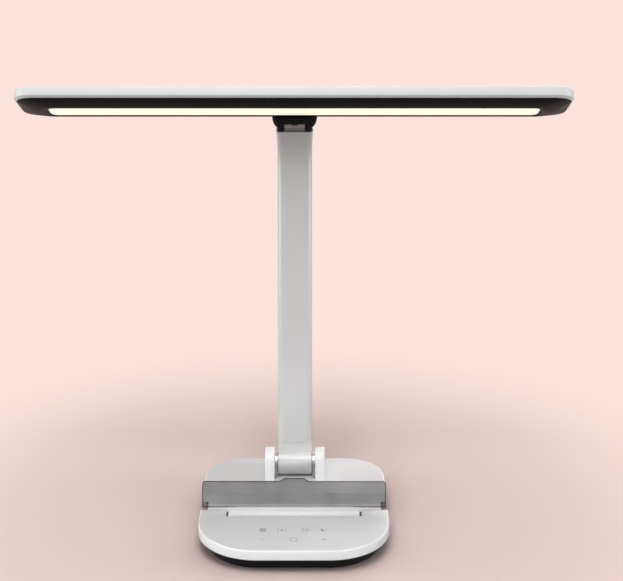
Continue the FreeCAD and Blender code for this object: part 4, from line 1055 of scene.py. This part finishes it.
@dataclass
class KeyIcons(Assembly):
    """Plain control icons printed on the cover over the touch pads."""

    top: float = 0.0228
    ink: float = 0.00005
    rear_row: float = -0.0596
    front_row: float = -0.0781
    outer: float = 0.0285
    inner: float = 0.0108
    line: float = 0.00042

    def bar(self, x: float, y: float, width: float, depth: float, turn: float = 0.0) -> Bench:
        """One stroke, turned in the plane of the cover."""
        stroke = Bench("stroke").block((-width / 2, -depth / 2, -self.ink), (width / 2, depth / 2, self.ink))
        return stroke.place(Euler((0.0, 0.0, math.radians(turn))), (x, y, self.top))

    def disc(self, x: float, y: float, radius: float, share: float = 1.0) -> Bench:
        """Round dot, with a height that is a share of the print's."""
        return Bench("disc").drum((x, y, self.top), Axis.Z, radius, share * 2 * self.ink, 40)

    def ring(self, x: float, y: float, radius: float, gap: float = 0.0) -> Bench:
        """Round stroke, open at its far side by a gap.

        Args:
            x: its middle, across.
            y: its middle, in depth.
            radius: its outer radius.
            gap: half the width of its opening.

        Returns:
            The stroke.
        """
        ring = self.disc(x, y, radius).cut(self.disc(x, y, radius - self.line, 4.0))
        if gap:
            height = 2 * self.ink
            ring.cut(Bench("gap").block((x - gap, y, self.top - height), (x + gap, y + 2 * radius, self.top + height)))
        return ring

    def page(self, x: float, y: float) -> list[Bench]:
        """Page with lines of text."""
        strokes = [self.bar(x + side * 0.0026, y, self.line, 0.0062) for side in (-1, 1)]
        return strokes + [self.bar(x, y + row * 0.00145, 0.0052, self.line * 1.3) for row in range(-2, 3)]

    def focus(self, x: float, y: float) -> list[Bench]:
        """Spot between two brackets.

        Args:
            x: the icon's middle, across.
            y: the icon's middle, in depth.

        Returns:
            Its strokes.
        """
        strokes = []
        for side in (-1, 1):
            strokes.append(self.bar(x + side * 0.0038, y, self.line, 0.0054))
            strokes += [self.bar(x + side * 0.0033, y + end * 0.0025, 0.0013, self.line) for end in (-1, 1)]
        return strokes + [self.ring(x, y, 0.0013), self.bar(x, y, self.line, 0.0052)]

    def cup(self, x: float, y: float) -> list[Bench]:
        """Cup with a handle.

        Args:
            x: the icon's middle, across.
            y: the icon's middle, in depth.

        Returns:
            Its strokes.
        """
        mid = x - 0.0006
        strokes = [self.bar(mid, y + 0.0024, 0.0052, self.line), self.bar(mid, y - 0.0026, 0.0036, self.line)]
        strokes += [self.bar(mid + side * 0.0022, y - 0.0001, self.line, 0.0052, side * -9.0) for side in (-1, 1)]
        return strokes + [self.ring(x + 0.0027, y + 0.0006, 0.0015)]

    def night(self, x: float, y: float) -> list[Bench]:
        """Crescent and a small star."""
        moon = self.disc(x - 0.0008, y, 0.0024).cut(self.disc(x + 0.0004, y + 0.0007, 0.0021, 4.0))
        return [moon, *(self.bar(x + 0.002, y + 0.0014, 0.0016, self.line, turn) for turn in (0.0, 90.0))]

    def less(self, x: float, y: float) -> list[Bench]:
        """Minus sign."""
        return [self.bar(x, y, 0.0044, self.line)]

    def power(self, x: float, y: float) -> list[Bench]:
        """Open ring with a stroke in its gap."""
        return [self.ring(x, y, 0.0036, 0.0008), self.bar(x, y + 0.0028, self.line, 0.003)]

    def more(self, x: float, y: float) -> list[Bench]:
        """Plus sign."""
        return [*self.less(x, y), self.bar(x, y, self.line, 0.0044)]

    def make_icons(self) -> None:
        """Makes the seven icons, each as one piece of joined strokes."""
        rear, front = self.rear_row, self.front_row
        for draw, x, y in (
            (self.page, -self.outer, rear), (self.focus, -self.inner, rear), (self.cup, self.inner, rear),
            (self.night, self.outer, rear), (self.less, -self.outer, front), (self.power, 0.0, front),
            (self.more, self.outer, front),
        ):
            first, *rest = draw(x, y)
            icon = Bench(f"icon_{draw.__name__}", first.object).join(*rest)
            self.done(icon, "component", finish="key_print")


# Page holder


@dataclass
class PageHolder(Assembly):
    """White round-backed bar with a clear smoky strip that stands in it."""

    body: ClassVar[str] = "page_holder"
    axis: ClassVar[Vector] = pivot("page_holder_fold")
    lean: ClassVar[float] = math.radians(18.0)
    drum_radius: float = 0.008
    half: float = 0.06235
    crest: float = 0.0092
    crest_front: float = -0.0004
    crest_rear: float = 0.0009
    meet_height: float = 0.0038
    rear_drop: float = 0.0006
    strip_half: float = 0.088
    strip_thickness: float = 0.002
    strip_offset: float = 0.00212
    strip_bottom: float = 0.00805
    strip_height: float = 0.0254
    strip_corner: float = 0.0026
    strip_chamfer: float = 0.0008
    tang_half: float = 0.056
    tang_depth: float = 0.009
    tang_play: float = 0.0003
    tab_top: float = 0.0096
    tab_foot: float = 0.014
    tab_height: float = 0.0028
    clamp_wall: float = 0.0016
    screw_pitch: float = 0.04
    screw_radius: float = 0.0022
    screw_height: float = 0.0012
    hole_length: float = 0.008
    # Where the strip's painted dark edges and painted light ends begin, by place and face direction.
    edge_start: float = 0.001
    side_facing: float = 0.2
    end_facing: float = 0.93
    edge_facing: float = 0.98
    far: float = 0.03

    @property
    def seat(self) -> float:
        """Back of the bar's clamping wall, where the screw heads lie."""
        return self.strip_offset + self.strip_thickness / 2 + self.clamp_wall

    @property
    def screw_level(self) -> float:
        """Height of the screws in the upright bar."""
        return self.strip_bottom - self.tang_depth / 2

    def leaned(self, across: float, up: float) -> Vector:
        """Where a point of the side view, given across and up the strip, lies once it leans."""
        return Euler((-self.lean, 0.0, 0.0)).to_matrix() @ Vector((0.0, across, up))

    def make_bar(self) -> None:
        """White bar with the slot that clamps the strip."""
        bar = Bench("holder_bar").drum(self.axis, Axis.X, self.drum_radius, 2 * self.half, 96)
        meet = -math.sqrt(self.drum_radius ** 2 - self.meet_height ** 2)
        rear = self.leaned(self.seat, self.strip_bottom - self.rear_drop)
        root = self.leaned(self.seat, self.rear_drop)
        side = [(meet, self.meet_height), (0.0, 0.0), root.yz, rear.yz,
                (self.crest_rear, self.crest), (self.crest_front, self.crest)]
        nose = Bench("nose").profile([(self.axis.y + y, self.axis.z + z) for y, z in side], self.half)
        bar.combine(Joining.ADD, nose)
        half = self.strip_thickness / 2 + PLAY
        front, back = self.strip_offset - half, self.strip_offset + half
        slots = [
            Bench("slot").block((-reach, front, low), (reach, back, self.far)) for reach, low in (
                (self.tang_half + self.tang_play, self.strip_bottom - self.tang_depth),
                (self.strip_half, self.strip_bottom - PLAY),
            )
        ]
        for place in (-1, 0, 1):
            middle = (place * self.screw_pitch, self.seat + self.hole_length / 2, self.screw_level)
            slots.append(Bench("hole").drum(middle, Axis.Y, self.screw_radius + PLAY, self.hole_length, 32))
        bar.cut(*[self.stand(slot) for slot in slots])
        bar.soften(0.00035, 3, 40.0, 32.0)
        self.done(bar, "holder_white", "page_holder_bar")

    def make_strip(self) -> None:
        """Clear smoky strip with chamfered corners, a thumb tab and a tang inside the bar."""
        front = self.strip_offset - self.strip_thickness / 2
        low, high = self.strip_bottom, self.strip_bottom + self.strip_height
        half, tab, tang = self.strip_half, self.tab_foot, self.tang_half
        strip = Bench("holder_strip").block((-half, front, low), (half, front + self.strip_thickness, high))
        strip.pick(lambda place, way: abs(way.y) > FACING and near(place.z, high), "EDGE").bevel(self.strip_corner, 2)
        for x in (-tab, tab, -tang, tang):
            strip.slice((x, 0.0, 0.0), Axis.X)
        strip.pick(lambda place, way: way.z > FACING and abs(place.x) < tab)
        strip.extrude(self.tab_height)
        top = high + self.tab_height
        strip.pick(lambda place, way: near(place.z, top), "VERT").grow((self.tab_top / tab, 1.0, 1.0), (0.0, 0.0, top))
        strip.pick(lambda place, way: way.z < -FACING and abs(place.x) < tang)
        strip.extrude(PLAY - self.tang_depth)
        strip.soften(self.strip_chamfer, 3, 25.0, 20.0)
        self.done(self.stand(strip), "smoky_clear", "page_holder_strip")
        across = self.leaned(1.0, 0.0)
        foot = self.axis.z + self.leaned(0.0, low + self.edge_start).z
        # The strip's end faces get a pale copy of the acrylic: a painted highlight of its lit ends.
        strip.paint(self.finishes["smoky_side"], lambda place, way: abs(way.x) > self.side_facing)
        # Its chamfers and top edge get a near-black copy of the acrylic: painted shade standing in for the dark look
        # that light gives an acrylic edge.
        strip.paint(self.finishes["smoky_edge"], lambda place, way: abs(way.dot(across)) < self.edge_facing
                    and abs(way.x) < self.end_facing and (place.z > foot or abs(place.x) > self.half))

    def make_screws(self) -> None:
        """Screws in the back of the bar."""
        self.screws("holder_screw", self.screw_radius, self.screw_height, {
            (side * self.screw_pitch, self.seat, self.screw_level): ("page_holder_screws",) if side == 0 else ()
            for side in (-1, 0, 1)
        })


# Arm


@dataclass
class Arm(Assembly):
    """Leaning arm of two shells, whose neck bends forward and flares towards the head."""

    body: ClassVar[str] = "arm"
    axis: ClassVar[Vector] = pivot("arm_tilt")
    head: ClassVar[Vector] = pivot("head_tilt")
    lean: ClassVar[float] = math.radians(15.0)
    straight: float = 0.2987
    width: float = 0.0345
    thickness: float = 0.014
    edge_round: float = 0.0062
    wall: float = 0.0018
    start: float = 0.022
    neck_radius: float = 0.06
    neck_turn: float = math.radians(45.0)
    neck_steps: int = 20
    flare: float = 0.0019
    flare_length: float = 0.034
    crown_radius: float = 0.0093
    crown_length: float = 0.06
    boss_radius: float = 0.004
    boss_foot: float = 0.00255
    boss_lap: float = 0.0003
    screw_radius: float = 0.0028
    screw_height: float = 0.0015
    screw_sink: float = 0.0003
    hole_length: float = 0.01
    screw_places: tuple[float, ...] = (0.06, 0.16, 0.26)
    angle_reach: float = 0.002

    @property
    def screw_seat(self) -> float:
        """Depth of the screw heads' seats behind the arm's middle surface."""
        return self.thickness / 2 - self.screw_height - self.screw_sink

    def widened(self, turn: float) -> float:
        """How much wider the arm is where the neck has turned by an angle.

        Args:
            turn: the angle that the neck has turned by.

        Returns:
            The width's factor.
        """
        height = self.axis.z + self.straight * math.cos(self.lean)
        height += self.neck_radius * (math.sin(self.lean) - math.sin(self.lean - turn))
        rise = min(max(height - self.head.z + self.flare_length, 0.0), self.flare_length)
        radius = (self.flare_length ** 2 + self.flare ** 2) / (2 * self.flare)
        return 1.0 + (radius - math.sqrt(radius ** 2 - rise ** 2)) / (self.width / 2)

    def tube(self) -> Bench:
        """Skin of the whole arm, upright, open at both ends, with an edge along each side.

        Returns:
            The skin.
        """
        foot, top = self.start, self.straight
        tube = Bench("arm_tube").sheet((0.0, 0.0, foot), (self.width, self.thickness))
        tube.round_plan(self.edge_round, 8).slice((0.0, 0.0, foot), Axis.Y)
        tube.pick().extrude(top - foot)
        for share in (0.25, 0.5, 0.75):
            tube.slice((0.0, 0.0, foot + share * (top - foot)), Axis.Z)
        tube.pick(lambda place, way: near(place.z, top) and abs(way.z) > FACING)
        tube.spin(self.neck_turn, self.neck_steps, (0.0, -self.neck_radius, top), Axis.X)
        for step in range(1, self.neck_steps + 1):
            turn = self.neck_turn * step / self.neck_steps
            tube.pick(lambda place, way: near(self.turned(place), turn, self.angle_reach), "VERT")
            tube.grow((self.widened(turn), 1.0, 1.0), (0.0, 0.0, 0.0))
        return tube.outward().pick(self.at_an_end).edit(MESH.delete, type="FACE")

    def turned(self, place: Vector) -> float:
        """Angle that the neck has turned by at a place.

        Args:
            place: a place on the arm.

        Returns:
            The angle in radians.
        """
        if place.z < self.straight:
            return 0.0
        return math.atan2(place.z - self.straight, place.y + self.neck_radius)

    def at_an_end(self, place: Vector, way: Vector) -> bool:
        """Whether a face of the skin closes its foot or its top.

        Args:
            place: the face's middle.
            way: its normal.

        Returns:
            Whether it closes an end.
        """
        if near(place.z, self.start):
            return way.z < -FACING
        turn = self.turned(place)
        along = Vector((0.0, -math.sin(turn), math.cos(turn)))
        return near(turn, self.neck_turn, self.angle_reach) and abs(way.dot(along)) > FACING

    def behind(self, place: Vector) -> float:
        """How far a place lies behind the arm's middle surface.

        Args:
            place: a place on the arm.

        Returns:
            The distance, below 0 in front of that surface.
        """
        if place.z < self.straight:
            return place.y
        return math.hypot(place.z - self.straight, place.y + self.neck_radius) - self.neck_radius

    def make_shells(self) -> None:
        """Front and rear shell."""
        tube = self.tube()
        self.shell(tube, "arm_front", -1.0, "arm_front_shell")
        self.shell(tube, "arm_back", 1.0, "arm_rear_shell")
        bpy.data.objects.remove(tube.object)

    def drums(self, name: str, middle: float, radius: float, length: float, sides: int) -> list[Bench]:
        """Drums that lie along Y at the heights of the screws."""
        return [Bench(name).drum((0.0, middle, place), Axis.Y, radius, length, sides) for place in self.screw_places]

    def shell(self, tube: Bench, name: str, side: float, node: str) -> None:
        """One shell.

        Args:
            tube: the whole skin.
            name: the shell's name.
            side: 1 for the rear shell and -1 for the front one.
            node: the frame's node that it stands for.
        """
        shell = tube.copy(name).pick(lambda place, way: side * self.behind(place) < 0.0)
        shell.edit(MESH.delete, type="FACE").wall(self.wall)
        near_end, far_end = side * self.boss_foot, side * (self.thickness / 2 - self.wall + self.boss_lap)
        middle, length = (near_end + far_end) / 2, abs(far_end - near_end)
        shell.combine(Joining.ADD, *self.drums("boss", middle, self.boss_radius, length, 32))
        if side > 0:
            middle, length = self.screw_seat + self.hole_length / 2, self.hole_length
            shell.cut(*self.drums("hole", middle, self.screw_radius + PLAY, length, 40))
        self.stand(shell).cut(Bench("crown").drum(self.head, Axis.X, self.crown_radius, self.crown_length, 96))
        shell.soften(0.00025, 2, 50.0, 30.0)
        self.done(shell, "arm_silver", node)

    def make_screws(self) -> None:
        """Screws in the back of the arm."""
        self.screws("arm_screw", self.screw_radius, self.screw_height, {
            (0.0, self.screw_seat, place): nodes for place, nodes in zip(self.screw_places, (("arm_screws",), (), ()))
        })


# Head


@dataclass
class Head(Assembly):
    """Wide flat head: white top shell, black sloped pan, lit panel and the hinge bowl below it."""

    body: ClassVar[str] = "head"
    axis: ClassVar[Vector] = pivot("head_tilt")
    lean: ClassVar[float] = math.radians(26.0)
    half: float = 0.2688
    depth: float = 0.068
    rear: float = 0.0094
    corner: float = 0.018
    flat: float = 0.004
    lip: float = 0.0093
    lip_height: float = 0.0023
    wall_height: float = 0.0089
    edge_round: float = 0.0016
    shell_wall: float = 0.002
    pan_inset: float = 0.0174
    pan_corner: float = 0.0165
    pan_wall: float = 0.0016
    panel_half: float = 0.2378
    panel_depth: float = 0.0266
    panel_corner: float = 0.007
    panel_recess: float = 0.0007
    panel_lap: float = 0.0012
    opening_top: float = 0.008
    pan_top: float = 0.012
    barrel_radius: float = 0.0085
    barrel_half: float = 0.0222
    bowl_round: float = 0.014
    bowl_half: float = 0.0083
    neck_half: float = 0.0165
    neck_front: float = 0.0069
    neck_rear: float = 0.005
    neck_top: float = 0.0098
    neck_lap: float = 0.0003
    ear_face: float = 0.0107
    slot_radius: float = 0.0067
    slot_half: float = 0.0054
    slot_turn: float = math.radians(-19.0)
    slot_inset: float = 0.0004
    cap_radius: float = 0.0045
    cap_seat: float = 0.0132
    far: float = 0.03

    @property
    def middle(self) -> float:
        """Middle line of the head, from the tilt axis."""
        return self.rear - self.depth / 2

    def outline(self, name: str, inset: float, height: float, radius: float) -> Bench:
        """Flat plan of the head, drawn in by an inset, with round corners."""
        size = (2 * (self.half - inset), self.depth - 2 * inset)
        return Bench(name).sheet((0.0, self.middle, height), size).round_plan(radius, 16)

    def panel(self, name: str, gap: float, low: float, high: float) -> Bench:
        """Solid of the lit panel's plan between two heights.

        Args:
            name: the solid's name.
            gap: how far the plan is drawn in.
            low: the lower height.
            high: the upper height.

        Returns:
            The solid.
        """
        size = (2 * (self.panel_half - gap), self.panel_depth - 2 * gap)
        plan = Bench(name).sheet((0.0, self.middle, low), size).round_plan(self.panel_corner - gap, 12)
        return plan.pick().extrude(high - low).outward()

    def neck(self, low: float, high: float, play: float = 0.0) -> Bench:
        """Neck that carries the head on the bowl, between two heights."""
        half = self.neck_half + play
        return Bench("neck").block((-half, -self.neck_front - play, low), (half, self.neck_rear + play, high))

    def make_shell(self) -> None:
        """White top shell with its chamfered lip."""
        low = self.lip + self.lip_height
        top = low + self.wall_height
        shell = self.outline("head_shell", 0.0, low, self.corner)
        shell.pick().extrude(self.wall_height).outward()
        shell.pick_rim(Axis.Z, top).bevel(self.edge_round, 5)
        shell.pick_ends(Axis.Z, -1.0).inset(self.lip_height, self.lip_height)
        shell.pick(lambda place, way: way.z < -FACING and near(place.z, self.lip)).inset(self.shell_wall)
        shell.pick(lambda place, way: way.z < -FACING and near(place.z, self.lip) and abs(place.x) < self.depth)
        shell.extrude(top - self.shell_wall - self.lip)
        shell.soften(0.0003, 2, 30.0, 28.0)
        self.done(self.stand(shell), "white_cover", "head_top_shell")

    def make_pan(self) -> None:
        """Black pan whose sides slope down to the flat round the lit panel."""
        pan = self.outline("head_pan", self.pan_inset, self.flat, self.pan_corner)
        rim = self.outline("rim", self.lip_height, self.lip, self.corner - self.lip_height)
        pan.join(rim.pick().edit(MESH.delete, type="ONLY_FACE"))
        pan.pick(lambda place, way: near(place.z, self.flat) or near(place.z, self.lip), "EDGE")
        pan.edit(MESH.bridge_edge_loops).outward()
        if min(pan.object.data.polygons, key=lambda face: face.center.z).normal.z > 0.0:
            pan.pick().edit(MESH.flip_normals)
        pan.wall(self.pan_wall)
        pan.cut(self.panel("opening", 0.0, self.flat - PAST, self.opening_top), self.neck(0.0, self.pan_top, PLAY))
        pan.soften(0.0003, 2, 30.0, 28.0)
        self.done(self.stand(pan), "black_shell", "head_bottom_pan")

    def make_panel(self) -> None:
        """Frosted panel that is lit from its edges."""
        low = self.flat + self.panel_recess
        lens = self.panel("lit_panel", PLAY, low, self.flat + self.pan_wall + self.panel_lap)
        lens.pick_rim(Axis.Z, low).bevel(0.0003, 2).smooth(30.0)
        self.done(self.stand(lens), "lit_diffuser", "diffuser")

    def bowl(self) -> Bench:
        """Bowl with an elliptical underside, ends rounded alike and straight sides up into the pan.

        Returns:
            The bowl.
        """
        middle, centre = self.barrel_half - self.bowl_round, self.bowl_round - self.bowl_half
        steps = 24
        turns = [math.pi * step / steps for step in range(steps + 1)]
        curve = [(self.bowl_half * math.cos(turn), centre - self.bowl_round * math.sin(turn)) for turn in turns]
        bowl = Bench("hinge_bowl").profile(curve, middle)
        for side in (-1.0, 1.0):
            bowl.pick_ends(Axis.X, side).spin(-side * math.pi / 2, 20, (side * middle, 0.0, centre), Axis.Y)
        bowl.outward().pick(lambda place, way: near(place.z, centre) and way.z > FACING)
        bowl.extrude(self.lip - centre).outward()
        keep = Bench("keep").drum((0.0, 0.0, 0.0), Axis.X, self.barrel_radius, 3 * self.barrel_half, 96)
        return bowl.combine(Joining.KEEP, keep)

    def make_housing(self) -> None:
        """Black bowl under the head with a slot for the arm's tongue."""
        far, flat = self.far, self.flat
        rise = far * (self.lip - flat) / (self.pan_inset - self.lip_height)
        start = self.rear - self.pan_inset
        above = [(start, flat), (start + far, flat + rise), (start + far, far), (-far, far), (-far, flat)]
        way = Vector((math.cos(self.slot_turn), math.sin(self.slot_turn)))
        begin = self.slot_half * Vector((-way.y, way.x))
        front = self.slot_inset - self.slot_radius
        slot = [(front, -far), (far, -far), tuple(begin + far * way), tuple(begin), (0.0, self.slot_half), (front, 0.0)]
        housing = self.bowl().cut(Bench("above").profile(above, far))
        housing.combine(Joining.ADD, self.neck(flat - self.neck_lap, self.neck_top))
        housing.cut(
            Bench("eye").drum((0.0, 0.0, 0.0), Axis.X, self.slot_radius, 2 * self.ear_face, 72),
            Bench("slot").profile(slot, self.ear_face),
            *both_sides(lambda side: Bench("cap").drum(
                (side * (self.cap_seat + far / 2), 0.0, 0.0), Axis.X, self.cap_radius, far, 48)),
        )
        housing.soften(0.0003, 2, 35.0, 30.0)
        self.done(self.stand(housing), "black_shell", "head_hinge_housing")


# Studio


@dataclass
class Studio:
    """Pale floor, soft lights and the camera of the photograph."""

    picture_width: int = 623
    focal_pixels: float = 1400.0
    sensor: float = 36.0
    pitch: float = math.radians(18.0)
    camera_place: Colour = (0.0167, -1.231, 0.638)
    paper: Colour = (0.982, 0.768, 0.716)
    bounce: Colour = (0.5, 0.496, 0.493)
    floor_size: float = 30.0
    # Reach and darkest share of the painted contact shadow, and the darker tone of the painted shadow pool near the
    # object.
    contact: float = 0.2
    contact_shade: float = 0.35
    near_shade: float = 0.76
    shadow_reach: float = 0.1
    paper_reach: float = 0.52
    sky: float = 0.05

    def make_camera(self) -> None:
        """Camera at the photograph's place and angle."""
        data = bpy.data.cameras.new("camera")
        data.sensor_width = self.sensor
        data.lens = self.focal_pixels * self.sensor / self.picture_width
        data.clip_end = 100.0
        camera = bpy.data.objects.new("camera", data)
        camera.location = self.camera_place
        camera.rotation_euler = (math.pi / 2 - self.pitch, 0.0, 0.0)
        bpy.context.scene.collection.objects.link(camera)
        bpy.context.scene.camera = camera

    @staticmethod
    def by_ray(nodes: Nodes, unseen: Wire, seen: Wire) -> Wire:
        """Shader that differs for the rays that show the backdrop: seen, mirrored and let through.

        Args:
            nodes: the material's nodes.
            unseen: the shader that lights the lamp.
            seen: the shader that those rays show.

        Returns:
            The mixed shader.
        """
        straight, mirrored, through = (
            nodes.add("LightPath", output=f"Is {kind} Ray") for kind in ("Camera", "Glossy", "Transmission")
        )
        values = {0: straight + mirrored, 1: through}
        share = nodes.add("Math", values, {"operation": "ADD", "use_clamp": True})
        return nodes.add("MixShader", {0: share, 1: unseen, 2: seen})

    def make_world(self) -> None:
        """Even light from all round, and the paper's colour behind the object."""
        world = bpy.data.worlds.new("studio")
        bpy.context.scene.world = world
        nodes = Nodes("studio", world)
        light = nodes.add("Background", {"Color": (1.0, 1.0, 1.0, 1.0), "Strength": self.sky})
        paper = nodes.add("Background", {"Color": (*self.paper, 1.0), "Strength": 1.0})
        nodes.add("OutputWorld", {"Surface": self.by_ray(nodes, light, paper)})

    def make_floor(self) -> None:
        """Pale floor that takes the object's shadow, with painted shade darkening it near the object and in its contact
        zone, and turns into plain paper farther out.
        """
        floor = Bench("floor").sheet((0.0, 0.0, 0.0), (self.floor_size, self.floor_size))
        nodes = Nodes("floor_paper")
        # The near floor's colour is darkened by ambient occlusion and by a darker tone near the object: a painted
        # contact shadow and painted shadow pool over the real shadow.
        open_sky = nodes.add("AmbientOcclusion", {"Distance": self.contact}, {"samples": 8}, "AO")
        shades = (tuple(part * shade for part in self.paper) for shade in (self.contact_shade, self.near_shade))
        values = {"Color": nodes.mix(open_sky, *shades), "Normal": nodes.bump(nodes.noise(0.0008), 0.00002)}
        near_by = nodes.add("BsdfDiffuse", values)
        distance = nodes.add("VectorMath", {0: nodes.place()}, {"operation": "LENGTH"}, "Value")
        values = {"Value": distance, "From Min": self.shadow_reach, "From Max": self.paper_reach}
        share = nodes.add("MapRange", values, {"interpolation_type": "SMOOTHSTEP"})
        far_off = nodes.add("Emission", {"Color": (*self.paper, 1.0), "Strength": 1.0})
        seen = nodes.add("MixShader", {0: share, 1: near_by, 2: far_off})
        unseen = nodes.add("BsdfDiffuse", {"Color": (*self.bounce, 1.0)})
        nodes.add("OutputMaterial", {"Surface": self.by_ray(nodes, unseen, seen)})
        floor.object.data.materials.append(nodes.material)

    def make_light(self, name: str, bearing: float, height: float, distance: float, size: float, level: float,
                   target: Colour = (0.0, 0.0, 0.2), spread: float = 180.0) -> None:
        """Square soft light that faces the lamp.

        Args:
            name: its name.
            bearing: degrees to the right of straight in front.
            height: degrees above the floor.
            distance: metres from the lamp.
            size: the length of its side.
            level: how bright a white card that faces it gets, where 1 is white.
            target: the place that it faces.
            spread: degrees that its beam opens. A narrow beam isn't mirrored by glossy pieces.
        """
        data = bpy.data.lights.new(name, "AREA")
        data.spread = math.radians(spread)
        data.size = size
        data.energy = level * (math.pi * distance) ** 2
        lamp = bpy.data.objects.new(name, data)
        turn, rise = math.radians(bearing), math.radians(height)
        way = Vector((math.sin(turn) * math.cos(rise), -math.cos(turn) * math.cos(rise), math.sin(rise)))
        lamp.location = Vector(target) + way * distance
        lamp.rotation_euler = (-way).to_track_quat("-Z", "Y").to_euler()
        lamp.visible_camera = False
        lamp.visible_glossy = spread > 90.0
        bpy.context.scene.collection.objects.link(lamp)

    def build(self) -> None:
        """Sets up the camera, the floor and the lights."""
        self.make_camera()
        self.make_world()
        self.make_floor()
        self.make_light("key", -10.0, 70.0, 1.5, 0.9, 0.84)
        self.make_light("left", -86.0, 12.0, 2.2, 1.0, 0.4)
        self.make_light("right", 86.0, 12.0, 2.2, 1.0, 0.36)
        self.make_light("back", 160.0, 18.0, 2.2, 1.4, 0.36)
        self.make_light("card", -12.0, 14.0, 0.95, 0.3, 0.019, (0.0, -0.12, 0.0), 22.0)
        bpy.context.scene.view_settings.view_transform = "Standard"


# Finishes by the record's material slots, and those of single nodes and pieces
FINISHES = (
    MouldedPlastic("white_cover", (0.78, 0.785, 0.79), (0.76, 0.765, 0.77), 0.44, gloss=0.36),
    # Greyer copy of the white cover for its top faces: painted shade.
    MouldedPlastic("cover_top", (0.555, 0.558, 0.562), (0.535, 0.538, 0.542), 0.42),
    MouldedPlastic("holder_white", (0.54, 0.547, 0.56), (0.52, 0.527, 0.54)),
    MouldedPlastic("black_shell", (0.007, 0.007, 0.0075), (0.01, 0.01, 0.0105), 0.45, 0.12, gloss=0.06),
    MouldedPlastic("inlet", (0.008, 0.008, 0.009), (0.012, 0.012, 0.013), 0.25, gloss=0.3),
    MouldedPlastic("hinge_cap", (0.5, 0.51, 0.52), (0.47, 0.48, 0.49), 0.35),
    MouldedPlastic("washer", (0.03, 0.03, 0.032), (0.04, 0.04, 0.042), 0.5),
    MouldedPlastic("component", (0.02, 0.02, 0.022), (0.03, 0.03, 0.033), 0.45),
    MouldedPlastic("key_print", (0.09, 0.092, 0.095), (0.12, 0.122, 0.125), 0.55),
    MouldedPlastic("reflector", (0.85, 0.85, 0.85), (0.82, 0.82, 0.82), 0.6),
    MouldedPlastic("led", (0.9, 0.75, 0.2), (0.85, 0.7, 0.18)),
    MouldedPlastic("light_guide", (0.8, 0.83, 0.82), (0.78, 0.81, 0.8), 0.15),
    SatinPaint("arm_silver", (0.665, 0.67, 0.668), (0.63, 0.635, 0.633)),
    # The arm core's paint. Its darker second tone is the head's shadow painted on the tongue, and a slot is painted
    # near-black as painted shade.
    TonguePaint("arm_core", (0.62, 0.625, 0.623), (0.32, 0.322, 0.32)),
    BrushedMetal("steel", (0.55, 0.55, 0.56), (0.48, 0.48, 0.49)),
    BrushedMetal("base_screws", (0.06, 0.06, 0.062), (0.04, 0.04, 0.042), 0.42),
    BrushedMetal("aluminium", (0.72, 0.73, 0.74), (0.68, 0.69, 0.7), 0.38),
    BrushedMetal("copper", (0.7, 0.38, 0.22), (0.6, 0.32, 0.18), 0.35, (1.0, 1.0, 1.0)),
    BrushedMetal("ballast", (0.16, 0.16, 0.17), (0.1, 0.1, 0.105), 0.55, (1.0, 1.0, 1.0)),
    SmokyAcrylic("smoky_clear", (0.06, 0.063, 0.066), 0.37),
    # Near-black copy of the acrylic for the strip's chamfered edges: painted shade.
    SmokyAcrylic("smoky_edge", (0.008, 0.008, 0.009), 0.86),
    # Pale copy of the acrylic for the strip's ends: painted highlight.
    SmokyAcrylic("smoky_side", (0.5, 0.51, 0.51), 0.45),
    LitPanel("lit_diffuser", (1.0, 1.0, 0.8), (1.0, 0.99, 0.76), 0.8),
    SoftRubber("rubber", (0.02, 0.02, 0.02), (0.06, 0.058, 0.055)),
    SoftRubber("lead", (0.03, 0.03, 0.03), (0.05, 0.05, 0.05)),
    CircuitBoard("board", (0.02, 0.12, 0.05), (0.05, 0.2, 0.09)),
    CircuitBoard("led_board", (0.8, 0.8, 0.79), (0.7, 0.7, 0.68)),
)


def dress_frame(finishes: dict[str, bpy.types.Material]) -> None:
    """Gives every node of the frame its own finish, or the finish of its slot.

    Args:
        finishes: the materials by their finishes' names.
    """
    slots = {item["node"]: item["material_slot"] for item in frame["record"]["subparts"]}
    for name, node in frame["nodes"].items():
        node.data.materials.clear()
        node.data.materials.append(finishes[name if name in finishes else slots[name]])


def main() -> None:
    """Builds the lamp and its studio."""
    logging.basicConfig(level=logging.INFO, format="%(name)s: %(message)s")
    finishes = {finish.name: finish.make() for finish in FINISHES}
    dress_frame(finishes)
    Studio().build()
    for part in (Base, KeyIcons, PageHolder, Arm, Head):
        part(finishes).build()


if __name__ == "__main__":
    main()
